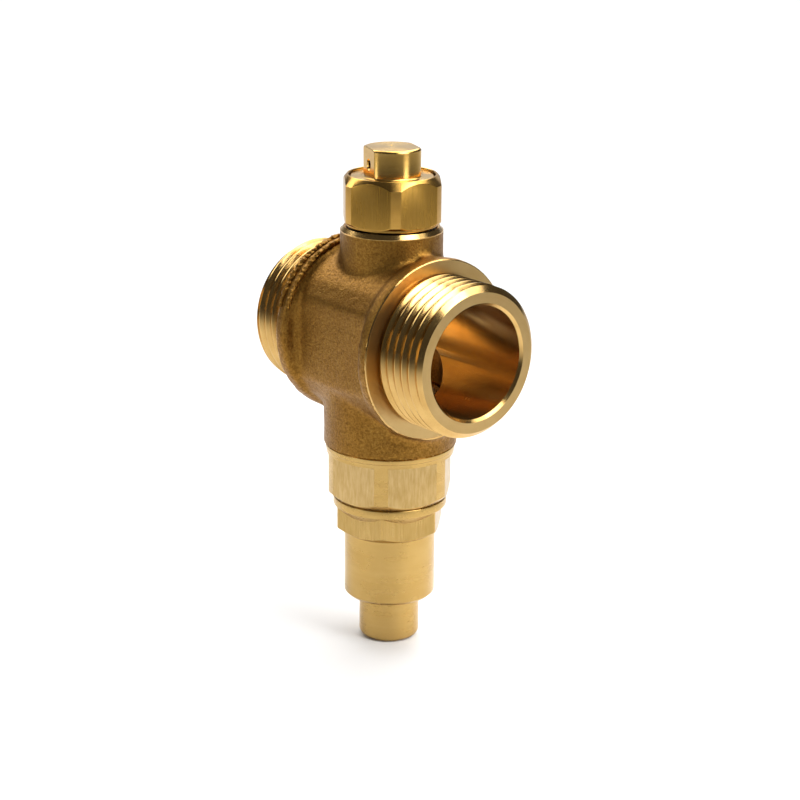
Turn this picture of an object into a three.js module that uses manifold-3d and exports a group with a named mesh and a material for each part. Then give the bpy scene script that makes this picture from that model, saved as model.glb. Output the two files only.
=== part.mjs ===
// Antifreeze drain valve for a G 1 water line.
// The run of pipe passes along X. The vertical axis is Z: a vacuum breaker closes the top,
// and a shut-off housing with a thermostatic drain cartridge hangs below.
// The origin is the centre of the drain nozzle's foot.
import * as THREE from 'three';
import { mergeVertices } from 'three/addons/utils/BufferGeometryUtils.js';
import Module from 'manifold-3d';

const wasm = await Module();
wasm.setup();

// ---------------------------------------------------------------- fits and facets
const FIT = 0.3;                    // clearance between pieces that touch, screw or slide
const FACETS = 32;                  // facets round a large turned piece
const SMALL_FACETS = 16;            // facets round a small turned piece
const STEPS_PER_TURN = 10;          // steps in one turn of a spring
const WATER_HOLES = 6;              // holes or notches round a plate or flange

// ---------------------------------------------------------------- valve body
const PORT_SPAN = 57.5;             // gasket face to gasket face
const PORT_THREAD_OD = 33.25;       // G 1 male thread
const PORT_THREAD_LENGTH = 13;
const PORT_CHAMFER = 1.3;
const RUN_BORE = 24.6;
const BORE_CHAMFER = 0.5;
const FLANGE_OD = 39.7;
const FLANGE_THICKNESS = 3.2;
const BARREL_OD = 37.6;
const BARREL_FLATS = 32.4;          // across the two side flats
const BARREL_OVERLAP = 0.2;         // barrel's ends sunk into the flanges
const UPPER_NECK_WALL = 2.6;        // round the vacuum breaker's shank
const UPPER_NECK_RISE = 24.5;       // port axis to the neck's top face
const NECK_BEVEL = 0.7;
const NECK_BEVEL_HEIGHT = 1;
const LOWER_NECK_WALL = 2.55;       // round the shut-off housing's shank
const LOWER_NECK_DROP = 24.2;       // port axis to the neck's bottom face
const CHAMBER_STEP = 0.7;           // shank pocket in to the chamber's bore
const UPPER_SEAL_SECTION = 1.1;
const LOWER_SEAL_SECTION = 1.5;
const LOWER_SEAL_GROOVE = 0.7;      // depth of the seal's groove in the shank

// ---------------------------------------------------------------- vacuum breaker
const VENT_FLATS_MARGIN = 0.25;     // shoulder out to the flats
const VENT_CORNER_MARGIN = 1;       // flats out to the turned corners
const VENT_NUT_TURN = 25;           // degrees from X to a corner
const VENT_NUT_HEIGHT = 11;
const VENT_TOP_CHAMFER = 1.8;
const VENT_FOOT_CHAMFER = 0.6;
const VENT_WALL = 2;                // chamber to the outside of the shank
const VENT_SHANK_LENGTH = 10.7;
const VENT_SEAL_COVER = 0.1;        // seal recess out to the shoulder's rim
const VENT_SHOULDER_HEIGHT = 0.6;
const VENT_CHAMBER_BORE = 12.4;
const VENT_THROAT_BORE = 6.4;
const VENT_SEAT_DEPTH = 6.1;        // rim to the seat that faces down
const CAP_DISC_OD = 18;
const CAP_DISC_THICKNESS = 1.7;
const CAP_DISC_DROP = 0.4;          // rim to the disc's top face
const CAP_STEM_OD = 12.8;
const CAP_STEM_FLATS = 10.6;
const CAP_STEM_RISE = 5.8;
const CAP_STEM_CHAMFER = 0.6;
const CAP_STEM_TURN = 70;           // degrees from X to the flats' normal
const CAP_SPIGOT_OD = 8;
const CAP_SPIGOT_LENGTH = 1.6;
const CAP_SEAL_SECTION = 1.3;
const CAP_RIM_LAND = 0.4;           // recess out to the top chamfer
const AIR_CROSS_HOLE = 2;
const AIR_CROSS_RISE = 2.5;         // disc to the cross hole's axis
const AIR_BORE = 3.2;
const VENT_POPPET_GAP = 1;          // chamber to the poppet's rim
const VENT_SPRING_COIL = 3.6;       // mean radius
const VENT_SPRING_WIRE = 0.7;
const VENT_SPRING_TURNS = 4.5;
const VENT_POPPET_THICKNESS = 1.3;
const VENT_POPPET_STEM = 3;
const VENT_BOSS_OD = 3.8;           // holds the seal on the poppet
const VENT_BOSS_RISE = 0.4;         // seat up to the boss's top
const VENT_STEM_LENGTH = 10.3;
const VENT_SEAL_THICKNESS = 1;
const VENT_SEAL_INSET = 0.2;        // poppet's rim in to the seal's rim
const VENT_POPPET_TRAVEL = 2.5;
const VENT_RETAINER_THICKNESS = 1.5;
const VENT_PASSAGE_HOLE = 2.2;
const VENT_PASSAGE_CIRCLE = 8.2;
const RETAINER_BITE = 0.3;          // a retainer's rim into its groove
const SHANK_CHAMFER = 0.8;
const VENT_RETAINER_RISE = 2.2;     // shank's end to the retainer

// ---------------------------------------------------------------- shut-off housing
const HEX_TURN = 13;                // degrees from X to a corner, both lower hexagons
const HOUSING_FLATS_DEPTH = 1.2;    // turned corners in to the flats
const HOUSING_CORNER_INSET = 0.2;   // collar in to the turned corners
const HOUSING_HEIGHT = 12.1;
const HOUSING_COLLAR_INSET = 0.35;  // neck in to the collar
const HOUSING_COLLAR_HEIGHT = 0.9;
const HOUSING_FLATS_TOP = 2;        // collar's top face to the top of the flats
const HOUSING_FOOT_CHAMFER = 1.5;
const HOUSING_WALL = 2;             // bore to the outside of the shank
const HOUSING_SHANK_LENGTH = 11.6;
const SHUTOFF_SEAT_BORE = 11.2;
const SHUTOFF_SEAT_WEB = 1.7;
const SHUTOFF_LIFT = 3;             // held open this far by the cartridge
const SHUTOFF_POPPET_GAP = 1.7;     // housing bore to the poppet's rim
const SHUTOFF_POPPET_THICKNESS = 1.3;
const SHUTOFF_HUB_OD = 4.8;
const SHUTOFF_HUB_LENGTH = 2.3;
const SHUTOFF_STEM_OD = 3;
const SHUTOFF_STEM_RISE = 0.6;      // stem's end above its retainer
const SHUTOFF_SEAL_INSET = 0.6;     // poppet's rim in to the seal's rim
const SHUTOFF_SEAL_THICKNESS = 1;
const SHUTOFF_RETAINER_DROP = 1.5;  // shank's end to the retainer
const SHUTOFF_RETAINER_THICKNESS = 1.2;
const SHUTOFF_PASSAGE_HOLE = 4;
const SHUTOFF_PASSAGE_INSET = 3.6;  // retainer's rim in to the holes' circle
const SHUTOFF_SPRING_COIL = 5.4;    // mean radius
const SHUTOFF_SPRING_WIRE = 0.8;
const SHUTOFF_SPRING_TURNS = 2.5;

// ---------------------------------------------------------------- thermostatic cartridge
const NOZZLE_OD = 13.5;
const NOZZLE_LENGTH = 10.3;
const NOZZLE_BORE = 8.6;
const NOZZLE_ROUND = 1.5;
const CAN_OD = 20.4;
const CAN_LENGTH = 15.5;
const CAN_CHAMFER = 0.8;
const CARTRIDGE_FLATS = 22;
const CARTRIDGE_CORNERS = 25.4;
const CARTRIDGE_HEX_HEIGHT = 7.8;
const CARTRIDGE_FOOT_SLOPE = 0.6;   // rise over run under the hexagon
const CARTRIDGE_CHAMFER = 0.6;
const CARTRIDGE_RING_HEIGHT = 1.5;
const CARTRIDGE_RING_OD = 25.4;
const CARTRIDGE_SHANK_LENGTH = 10;
const CARTRIDGE_BORE = 13.2;
const CARTRIDGE_WALL = 1.3;         // bore out to the ring seal's groove
const RING_SEAL_SECTION = 1.4;
const RING_SEAL_RISE = 4.6;         // hexagon's top to the ring seal's groove
const FACE_SEAL_SECTION = 1.4;
const FACE_SEAL_GROOVE = 0.6;       // depth of the seal's groove in the shank
const SEAT_WEB = 2.6;
const THROAT_TAPER = 0.5;           // half the height of the cone below the throat
const SEAT_LIP_WIDTH = 0.8;
const SEAT_LIP_GAP = 0.45;          // return spring in to the lip
const SEAT_LIP_HEIGHT = 0.7;
const SHUTTER_PLUG_GAP = 1.05;      // return spring in to the plug
const SHUTTER_PLUG_LENGTH = 4.3;
const SHUTTER_FLANGE_GAP = 0.4;     // cartridge bore in to the flange
const SHUTTER_FLANGE_THICKNESS = 1.1;
const SHUTTER_SEAL_THICKNESS = 1;
const SHUTTER_TRAVEL = 2.5;
const SHUTTER_SPIGOT_OD = 2.6;
const SHUTTER_SEAL_MARGIN = 0.4;    // plug out to the seal's rim
const NOTCH_OD = 2.2;               // water notches round a flange
const RETURN_SPRING_GAP = 1.05;     // cartridge bore in to the spring
const RETURN_SPRING_WIRE = 0.7;
const RETURN_SPRING_TURNS = 3.5;
const PISTON_OD = 2.6;
const PISTON_LENGTH = 10.6;
const CAPSULE_OD = 8.8;
const CAPSULE_LENGTH = 8.8;         // neck's foot to the flange
const CAPSULE_NECK_OD = 5.2;
const CAPSULE_NECK_LENGTH = 2.2;
const CAPSULE_FLANGE_GAP = 0.5;     // cartridge bore in to the flange
const CAPSULE_FLANGE_THICKNESS = 1.1;
const CAPSULE_HEAD_GAP = 0.8;       // overtravel spring in to the head
const CAPSULE_HEAD_LENGTH = 3.6;
const CAPSULE_BORE_RISE = 0.6;      // flange's top to the end of the piston's bore
const CAPSULE_STANDOFF = 0.7;       // capsule's foot above the shutter fully open
const CAPSULE_SHOULDER = 0.6;
const OVERTRAVEL_SPRING_GAP = 1.5;  // cartridge bore in to the spring
const OVERTRAVEL_SPRING_WIRE = 0.8;
const OVERTRAVEL_SPRING_TURNS = 3.5;
const GUIDE_DROP = 2.3;             // shank's end to the guide plate
const GUIDE_THICKNESS = 1.3;
const GUIDE_POST_WALL = 0.8;        // post out to the water holes
const GUIDE_RIM_WALL = 1.3;         // rim in to the water holes
const RING_WIRE = 0.8;              // height of the retaining ring
const RING_RADIAL = 1.6;
const RING_GAP = 3;                 // between the ring's ends
const RING_GROOVE_DEPTH = 0.6;

// ---------------------------------------------------------------- radii, inside outwards
const cartridgeBore = CARTRIDGE_BORE / 2;
const ringSealGroove = cartridgeBore + CARTRIDGE_WALL;
const cartridgeShank = ringSealGroove + RING_SEAL_SECTION + FIT;
const housingBore = cartridgeShank + FIT;
const housingShank = housingBore + HOUSING_WALL;
const shankPocket = housingShank + FIT;
const lowerNeckRadius = shankPocket + LOWER_NECK_WALL;
const housingCollar = lowerNeckRadius - HOUSING_COLLAR_INSET;
const housingCorner = housingCollar - HOUSING_CORNER_INSET;
const ventChamber = VENT_CHAMBER_BORE / 2;
const ventShank = ventChamber + VENT_WALL;
const ventPocket = ventShank + FIT;
const upperNeckRadius = ventPocket + UPPER_NECK_WALL;
const ventSealRecess = ventShank + UPPER_SEAL_SECTION + 2 * FIT;
const ventShoulderRadius = ventSealRecess + VENT_SEAL_COVER;
const ventFlats = 2 * (ventShoulderRadius + VENT_FLATS_MARGIN);
const ventCorner = ventFlats / 2 + VENT_CORNER_MARGIN;

// ---------------------------------------------------------------- heights, foot upwards
const canBottom = NOZZLE_LENGTH;
const canTop = canBottom + CAN_LENGTH;
const hexTop = canTop + CARTRIDGE_HEX_HEIGHT;
const housingBottom = hexTop + FIT;
const collarTop = housingBottom + HOUSING_HEIGHT;
const neckBottom = collarTop + FIT;
const axisHeight = neckBottom + LOWER_NECK_DROP;
const neckTop = axisHeight + UPPER_NECK_RISE;
const ventShoulder = neckTop + FIT;
const ventRim = ventShoulder + VENT_NUT_HEIGHT;
const discTop = ventRim - CAP_DISC_DROP;
const discBottom = discTop - CAP_DISC_THICKNESS;
const stemTop = ventRim + CAP_STEM_RISE;
const ventSeat = ventRim - VENT_SEAT_DEPTH;
const ventShankEnd = ventShoulder - VENT_SHANK_LENGTH;
const housingShankTop = collarTop + HOUSING_SHANK_LENGTH;
const cartridgeTop = hexTop + CARTRIDGE_SHANK_LENGTH;
const seatFloor = canBottom + SEAT_WEB;

// ---------------------------------------------------------------- geometry helpers
// A closed three.js geometry becomes a solid once its shared corners are merged.
function solid(geometry) {
  const loose = geometry.index ? geometry.toNonIndexed() : geometry;
  const bare = new THREE.BufferGeometry();
  bare.setAttribute('position', loose.getAttribute('position'));
  const merged = mergeVertices(bare, 1e-4);
  const index = merged.index.array;
  const triangles = [];
  for (let i = 0; i < index.length; i += 3) {
    const [a, b, c] = [index[i], index[i + 1], index[i + 2]];
    if (a !== b && b !== c && c !== a) triangles.push(a, b, c);
  }
  const mesh = new wasm.Mesh({
    numProp: 3,
    vertProperties: new Float32Array(merged.attributes.position.array),
    triVerts: new Uint32Array(triangles),
  });
  return new wasm.Manifold(mesh);
}

// A profile of [radius, height] corners, turned about Z. It closes on itself or on the axis.
function turned(profile, facets = FACETS) {
  let area = 0;
  profile.forEach(([r, z], i) => {
    const [nextR, nextZ] = profile[(i + 1) % profile.length];
    area += r * nextZ - nextR * z;
  });
  const outline = area > 0 ? [...profile] : [...profile].reverse();
  outline.push(outline[0]);
  const points = outline.map(([r, z]) => new THREE.Vector2(r, z));
  const lathe = new THREE.LatheGeometry(points, facets);
  lathe.rotateX(Math.PI / 2);
  return solid(lathe);
}

function rod(radius, bottom, top, facets = FACETS) {
  return turned([[0, bottom], [radius, bottom], [radius, top], [0, top]], facets);
}

function washer(inner, outer, bottom, top, facets = SMALL_FACETS) {
  return turned([[inner, bottom], [outer, bottom], [outer, top], [inner, top]], facets);
}

// A ring of round section, lying flat.
function ringSeal(meanRadius, section, height) {
  const profile = [];
  for (let i = 0; i < 6; i += 1) {
    const angle = (i + 0.5) * Math.PI / 3;
    profile.push([meanRadius + section / 2 * Math.cos(angle), height + section / 2 * Math.sin(angle)]);
  }
  return turned(profile, SMALL_FACETS);
}

// A hexagonal prism; turnDegrees points one corner that far round from X.
function hexPrism(acrossFlats, bottom, top, turnDegrees) {
  const corner = acrossFlats / Math.sqrt(3);
  const outline = new THREE.Shape();
  for (let i = 0; i < 6; i += 1) {
    const angle = THREE.MathUtils.degToRad(turnDegrees + 60 * i);
    const place = [corner * Math.cos(angle), corner * Math.sin(angle)];
    if (i === 0) outline.moveTo(...place);
    else outline.lineTo(...place);
  }
  const prism = new THREE.ExtrudeGeometry(outline, { depth: top - bottom, bevelEnabled: false });
  prism.translate(0, 0, bottom);
  return solid(prism);
}

function box(sizeX, sizeY, sizeZ, x, y, z) {
  const block = new THREE.BoxGeometry(sizeX, sizeY, sizeZ);
  block.translate(x, y, z);
  return solid(block);
}

// Upright holes, evenly spaced on a circle.
function holeCircle(count, holeRadius, circleRadius, bottom, top) {
  let holes = null;
  for (let i = 0; i < count; i += 1) {
    const angle = 2 * Math.PI * i / count;
    const hole = new THREE.CylinderGeometry(holeRadius, holeRadius, top - bottom, 12);
    hole.rotateX(Math.PI / 2);
    hole.translate(circleRadius * Math.cos(angle), circleRadius * Math.sin(angle), (top + bottom) / 2);
    holes = holes ? holes.add(solid(hole)) : solid(hole);
  }
  return holes;
}

class Helix extends THREE.Curve {
  constructor(radius, bottom, top, turns) {
    super();
    Object.assign(this, { radius, bottom, top, turns });
  }

  getPoint(t, target = new THREE.Vector3()) {
    const angle = 2 * Math.PI * this.turns * t;
    const height = this.bottom + (this.top - this.bottom) * t;
    return target.set(this.radius * Math.cos(angle), this.radius * Math.sin(angle), height);
  }
}

// A compression spring that fills the space between two faces.
function spring(coilRadius, wire, bottom, top, turns) {
  const path = new Helix(coilRadius, bottom + wire / 2, top - wire / 2, turns);
  const section = new THREE.Shape();
  for (let i = 0; i < 6; i += 1) {
    const angle = i * Math.PI / 3;
    const place = [wire / 2 * Math.cos(angle), wire / 2 * Math.sin(angle)];
    if (i === 0) section.moveTo(...place);
    else section.lineTo(...place);
  }
  const steps = Math.round(turns * STEPS_PER_TURN);
  return solid(new THREE.ExtrudeGeometry(section, { steps, extrudePath: path }));
}

// ---------------------------------------------------------------- valve body
const portFace = PORT_SPAN / 2;
const flangeFace = portFace - PORT_THREAD_LENGTH;
const flangeBack = flangeFace - FLANGE_THICKNESS;
const upperSealFloor = neckTop - UPPER_SEAL_SECTION - 2 * FIT;
const lowerSealInner = housingShank - LOWER_SEAL_GROOVE;
const lowerSealRecess = lowerSealInner + LOWER_SEAL_SECTION + 2 * FIT;

function barrel() {
  const radius = BARREL_OD / 2;
  const half = BARREL_FLATS / 2;
  const lean = Math.acos(half / radius);
  const section = new THREE.Shape();
  section.absarc(0, 0, radius, lean, Math.PI - lean, false);
  section.absarc(0, 0, radius, Math.PI + lean, 2 * Math.PI - lean, false);
  section.closePath();
  const length = 2 * (flangeBack + BARREL_OVERLAP);
  const bar = new THREE.ExtrudeGeometry(section, { depth: length, bevelEnabled: false, curveSegments: 16 });
  bar.translate(0, 0, -length / 2);
  bar.rotateX(Math.PI / 2);
  bar.rotateZ(Math.PI / 2);
  bar.translate(0, 0, axisHeight);
  return solid(bar);
}

function port(side) {
  const thread = PORT_THREAD_OD / 2;
  const flange = FLANGE_OD / 2;
  const profile = [
    [0, flangeBack],
    [flange, flangeBack],
    [flange, flangeFace],
    [thread, flangeFace],
    [thread, portFace - PORT_CHAMFER],
    [thread - PORT_CHAMFER, portFace],
    [0, portFace],
  ];
  return turned(profile).rotate([0, side * 90, 0]).translate([0, 0, axisHeight]);
}

function runBore() {
  const radius = RUN_BORE / 2;
  const flare = radius + BORE_CHAMFER + 1;
  const profile = [
    [0, -portFace - 1],
    [flare, -portFace - 1],
    [radius, -portFace + BORE_CHAMFER],
    [radius, portFace - BORE_CHAMFER],
    [flare, portFace + 1],
    [0, portFace + 1],
  ];
  return turned(profile).rotate([0, 90, 0]).translate([0, 0, axisHeight]);
}

function valveBody() {
  const upperNeck = turned([
    [0, axisHeight],
    [upperNeckRadius, axisHeight],
    [upperNeckRadius, neckTop - NECK_BEVEL_HEIGHT],
    [upperNeckRadius - NECK_BEVEL, neckTop],
    [0, neckTop],
  ]);
  const lowerNeck = rod(lowerNeckRadius, neckBottom, axisHeight);
  const pocketRoof = housingShankTop + FIT;
  const lowerPocket = turned([
    [0, neckBottom - 1],
    [lowerSealRecess, neckBottom - 1],
    [lowerSealRecess, neckBottom + LOWER_SEAL_SECTION + FIT],
    [shankPocket, neckBottom + LOWER_SEAL_SECTION + FIT],
    [shankPocket, pocketRoof],
    [shankPocket - CHAMBER_STEP, pocketRoof],
    [shankPocket - CHAMBER_STEP, axisHeight],
    [0, axisHeight],
  ]);
  const upperPocket = turned([
    [0, axisHeight],
    [ventPocket, axisHeight],
    [ventPocket, upperSealFloor],
    [ventSealRecess, upperSealFloor],
    [ventSealRecess, neckTop + 1],
    [0, neckTop + 1],
  ]);
  return barrel().add(port(1)).add(port(-1)).add(upperNeck).add(lowerNeck)
    .subtract(runBore()).subtract(lowerPocket).subtract(upperPocket);
}

// ---------------------------------------------------------------- vacuum breaker
const capRecess = CAP_DISC_OD / 2 + FIT;
const capSealRecess = CAP_SPIGOT_OD / 2 + CAP_SEAL_SECTION + 2 * FIT;
const capSealFloor = discBottom - CAP_SEAL_SECTION - 2 * FIT;
const retainerBottom = ventShankEnd + VENT_RETAINER_RISE;
const retainerTop = retainerBottom + VENT_RETAINER_THICKNESS;
const ventRetainerRadius = ventChamber + RETAINER_BITE;
const ventSealTop = ventSeat - FIT;
const ventPoppetTop = ventSealTop - VENT_SEAL_THICKNESS - FIT;
const ventPoppetBottom = ventPoppetTop - VENT_POPPET_THICKNESS;
const ventPoppetRadius = ventChamber - VENT_POPPET_GAP;
const ventBossRadius = VENT_BOSS_OD / 2;

function ventHousing() {
  const hexBottom = ventShoulder + VENT_SHOULDER_HEIGHT;
  const outside = turned([
    [0, ventShankEnd],
    [ventShank - SHANK_CHAMFER, ventShankEnd],
    [ventShank, ventShankEnd + SHANK_CHAMFER],
    [ventShank, ventShoulder],
    [ventShoulderRadius, ventShoulder],
    [ventShoulderRadius, hexBottom],
    [ventCorner - VENT_FOOT_CHAMFER, hexBottom],
    [ventCorner, hexBottom + VENT_FOOT_CHAMFER],
    [ventCorner, ventRim - VENT_TOP_CHAMFER],
    [capRecess + CAP_RIM_LAND, ventRim],
    [0, ventRim],
  ]);
  const envelope = hexPrism(ventFlats, hexBottom, ventRim + 1, VENT_NUT_TURN)
    .add(rod(ventShoulderRadius, ventShankEnd - 1, hexBottom + 0.1));
  const grooveRadius = ventRetainerRadius + FIT;
  const passage = turned([
    [0, ventShankEnd - 1],
    [ventChamber, ventShankEnd - 1],
    [ventChamber, retainerBottom - FIT],
    [grooveRadius, retainerBottom - FIT],
    [grooveRadius, retainerTop + FIT],
    [ventChamber, retainerTop + FIT],
    [ventChamber, ventSeat],
    [VENT_THROAT_BORE / 2, ventSeat],
    [VENT_THROAT_BORE / 2, capSealFloor],
    [capSealRecess, capSealFloor],
    [capSealRecess, discBottom - FIT],
    [capRecess, discBottom - FIT],
    [capRecess, ventRim + 1],
    [0, ventRim + 1],
  ]);
  return outside.intersect(envelope).subtract(passage);
}

function ventCap() {
  const stem = CAP_STEM_OD / 2;
  const outside = turned([
    [0, discBottom - CAP_SPIGOT_LENGTH],
    [CAP_SPIGOT_OD / 2, discBottom - CAP_SPIGOT_LENGTH],
    [CAP_SPIGOT_OD / 2, discBottom],
    [CAP_DISC_OD / 2, discBottom],
    [CAP_DISC_OD / 2, discTop],
    [stem, discTop],
    [stem, stemTop - CAP_STEM_CHAMFER],
    [stem - CAP_STEM_CHAMFER, stemTop],
    [0, stemTop],
  ]);
  const sliceHeight = stemTop - discTop;
  const slice = (sign) => box(stem, CAP_STEM_OD, sliceHeight, sign * (CAP_STEM_FLATS / 2 + stem / 2), 0,
    discTop + sliceHeight / 2 + 0.01);
  const crossHeight = discTop + AIR_CROSS_RISE;
  const cross = rod(AIR_CROSS_HOLE / 2, -stem - 1, stem + 1, 16).rotate([0, 90, 0])
    .translate([0, 0, crossHeight]);
  const air = rod(AIR_BORE / 2, discBottom - CAP_SPIGOT_LENGTH - 1, crossHeight + AIR_CROSS_HOLE / 2, 16);
  return outside.subtract(slice(1)).subtract(slice(-1)).subtract(cross).subtract(air)
    .rotate([0, 0, CAP_STEM_TURN]);
}

function ventPoppet() {
  return turned([
    [0, ventPoppetBottom - VENT_STEM_LENGTH],
    [VENT_POPPET_STEM / 2, ventPoppetBottom - VENT_STEM_LENGTH],
    [VENT_POPPET_STEM / 2, ventPoppetBottom],
    [ventPoppetRadius, ventPoppetBottom],
    [ventPoppetRadius, ventPoppetTop],
    [ventBossRadius, ventPoppetTop],
    [ventBossRadius, ventSeat + VENT_BOSS_RISE],
    [0, ventSeat + VENT_BOSS_RISE],
  ], SMALL_FACETS);
}

function ventPoppetSeal() {
  const rim = ventPoppetRadius - VENT_SEAL_INSET;
  return washer(ventBossRadius + FIT, rim, ventSealTop - VENT_SEAL_THICKNESS, ventSealTop);
}

function ventRetainer() {
  const plate = washer(VENT_POPPET_STEM / 2 + FIT, ventRetainerRadius, retainerBottom, retainerTop);
  const waterHoles = holeCircle(WATER_HOLES, VENT_PASSAGE_HOLE / 2, VENT_PASSAGE_CIRCLE / 2, retainerBottom - 1,
    retainerTop + 1);
  return plate.subtract(waterHoles);
}

// ---------------------------------------------------------------- shut-off housing
const ledgeBottom = cartridgeTop + FIT;
const shutoffSeat = ledgeBottom + SHUTOFF_SEAT_WEB;
const shutoffSealBottom = shutoffSeat + SHUTOFF_LIFT;
const shutoffDiscBottom = shutoffSealBottom + SHUTOFF_SEAL_THICKNESS + FIT;
const shutoffDiscTop = shutoffDiscBottom + SHUTOFF_POPPET_THICKNESS;
const shutoffRetainerTop = housingShankTop - SHUTOFF_RETAINER_DROP;
const shutoffRetainerBottom = shutoffRetainerTop - SHUTOFF_RETAINER_THICKNESS;
const shutoffRetainerRadius = housingBore + RETAINER_BITE;
const shutoffPoppetRadius = housingBore - SHUTOFF_POPPET_GAP;
const cartridgeRelief = cartridgeShank - FACE_SEAL_GROOVE;
const faceSealRecess = cartridgeRelief + FACE_SEAL_SECTION + 2 * FIT;

function shutoffHousing() {
  const collarBottom = collarTop - HOUSING_COLLAR_HEIGHT;
  const grooveTop = collarTop + LOWER_SEAL_SECTION + 2 * FIT;
  const outside = turned([
    [0, housingBottom],
    [housingCorner - HOUSING_FOOT_CHAMFER, housingBottom],
    [housingCorner, housingBottom + HOUSING_FOOT_CHAMFER],
    [housingCorner, collarBottom - 2 * HOUSING_CORNER_INSET],
    [housingCollar, collarBottom],
    [housingCollar, collarTop],
    [lowerSealInner, collarTop],
    [lowerSealInner, grooveTop],
    [housingShank, grooveTop],
    [housingShank, housingShankTop - SHANK_CHAMFER],
    [housingShank - SHANK_CHAMFER, housingShankTop],
    [0, housingShankTop],
  ]);
  const flatsTop = collarTop - HOUSING_FLATS_TOP;
  const flats = 2 * (housingCorner - HOUSING_FLATS_DEPTH);
  const envelope = hexPrism(flats, housingBottom - 1, flatsTop, HEX_TURN)
    .add(rod(housingCollar + 1, flatsTop - 0.01, housingShankTop + 1));
  const groove = shutoffRetainerRadius + FIT;
  const passage = turned([
    [0, housingBottom - 1],
    [faceSealRecess, housingBottom - 1],
    [faceSealRecess, housingBottom + FACE_SEAL_SECTION + FIT],
    [housingBore, housingBottom + FACE_SEAL_SECTION + FIT],
    [housingBore, ledgeBottom],
    [SHUTOFF_SEAT_BORE / 2, ledgeBottom],
    [SHUTOFF_SEAT_BORE / 2, shutoffSeat],
    [housingBore, shutoffSeat],
    [housingBore, shutoffRetainerBottom - FIT],
    [groove, shutoffRetainerBottom - FIT],
    [groove, shutoffRetainerTop + FIT],
    [housingBore, shutoffRetainerTop + FIT],
    [housingBore, housingShankTop + 1],
    [0, housingShankTop + 1],
  ]);
  return outside.intersect(envelope).subtract(passage);
}

function shutoffPoppet() {
  return turned([
    [0, shutoffDiscBottom - SHUTOFF_HUB_LENGTH],
    [SHUTOFF_HUB_OD / 2, shutoffDiscBottom - SHUTOFF_HUB_LENGTH],
    [SHUTOFF_HUB_OD / 2, shutoffDiscBottom],
    [shutoffPoppetRadius, shutoffDiscBottom],
    [shutoffPoppetRadius, shutoffDiscTop],
    [SHUTOFF_STEM_OD / 2, shutoffDiscTop],
    [SHUTOFF_STEM_OD / 2, shutoffRetainerTop + SHUTOFF_STEM_RISE],
    [0, shutoffRetainerTop + SHUTOFF_STEM_RISE],
  ], SMALL_FACETS);
}

function shutoffPoppetSeal() {
  return washer(SHUTOFF_HUB_OD / 2 + FIT, shutoffPoppetRadius - SHUTOFF_SEAL_INSET, shutoffSealBottom,
    shutoffSealBottom + SHUTOFF_SEAL_THICKNESS);
}

function shutoffRetainer() {
  const plate = washer(SHUTOFF_STEM_OD / 2 + FIT, shutoffRetainerRadius, shutoffRetainerBottom,
    shutoffRetainerTop, FACETS);
  const circle = shutoffRetainerRadius - SHUTOFF_PASSAGE_INSET;
  return plate.subtract(holeCircle(WATER_HOLES, SHUTOFF_PASSAGE_HOLE / 2, circle, shutoffRetainerBottom - 1,
    shutoffRetainerTop + 1));
}

// ---------------------------------------------------------------- thermostatic cartridge
const lipTop = seatFloor + SEAT_LIP_HEIGHT;
const shutterSealBottom = lipTop + FIT;
const plugBottom = shutterSealBottom + SHUTTER_SEAL_THICKNESS + FIT;
const shutterFlangeBottom = plugBottom + SHUTTER_PLUG_LENGTH;
const shutterTop = shutterFlangeBottom + SHUTTER_FLANGE_THICKNESS;
const capsuleBottom = shutterTop + SHUTTER_TRAVEL + CAPSULE_STANDOFF;
const capsuleFlangeBottom = capsuleBottom + CAPSULE_LENGTH;
const capsuleFlangeTop = capsuleFlangeBottom + CAPSULE_FLANGE_THICKNESS;
const guideTop = cartridgeTop - GUIDE_DROP;
const guideBottom = guideTop - GUIDE_THICKNESS;
const ringBottom = guideTop + FIT;
const ringSealBottom = hexTop + RING_SEAL_RISE;
const ringSealTop = ringSealBottom + RING_SEAL_SECTION + 2 * FIT;
const ringGroove = cartridgeBore + RING_GROOVE_DEPTH;
const returnSpringCoil = cartridgeBore - RETURN_SPRING_GAP - RETURN_SPRING_WIRE / 2;
const returnSpringInside = returnSpringCoil - RETURN_SPRING_WIRE / 2;
const overtravelSpringCoil = cartridgeBore - OVERTRAVEL_SPRING_GAP - OVERTRAVEL_SPRING_WIRE / 2;
const seatLip = returnSpringInside - SEAT_LIP_GAP;
const seatThroat = seatLip - SEAT_LIP_WIDTH;
const shutterPlug = returnSpringInside - SHUTTER_PLUG_GAP;
const shutterFlange = cartridgeBore - SHUTTER_FLANGE_GAP;
const shutterSpigot = SHUTTER_SPIGOT_OD / 2;
const capsuleFlange = cartridgeBore - CAPSULE_FLANGE_GAP;
const capsuleHead = overtravelSpringCoil - OVERTRAVEL_SPRING_WIRE / 2 - CAPSULE_HEAD_GAP;

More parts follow.
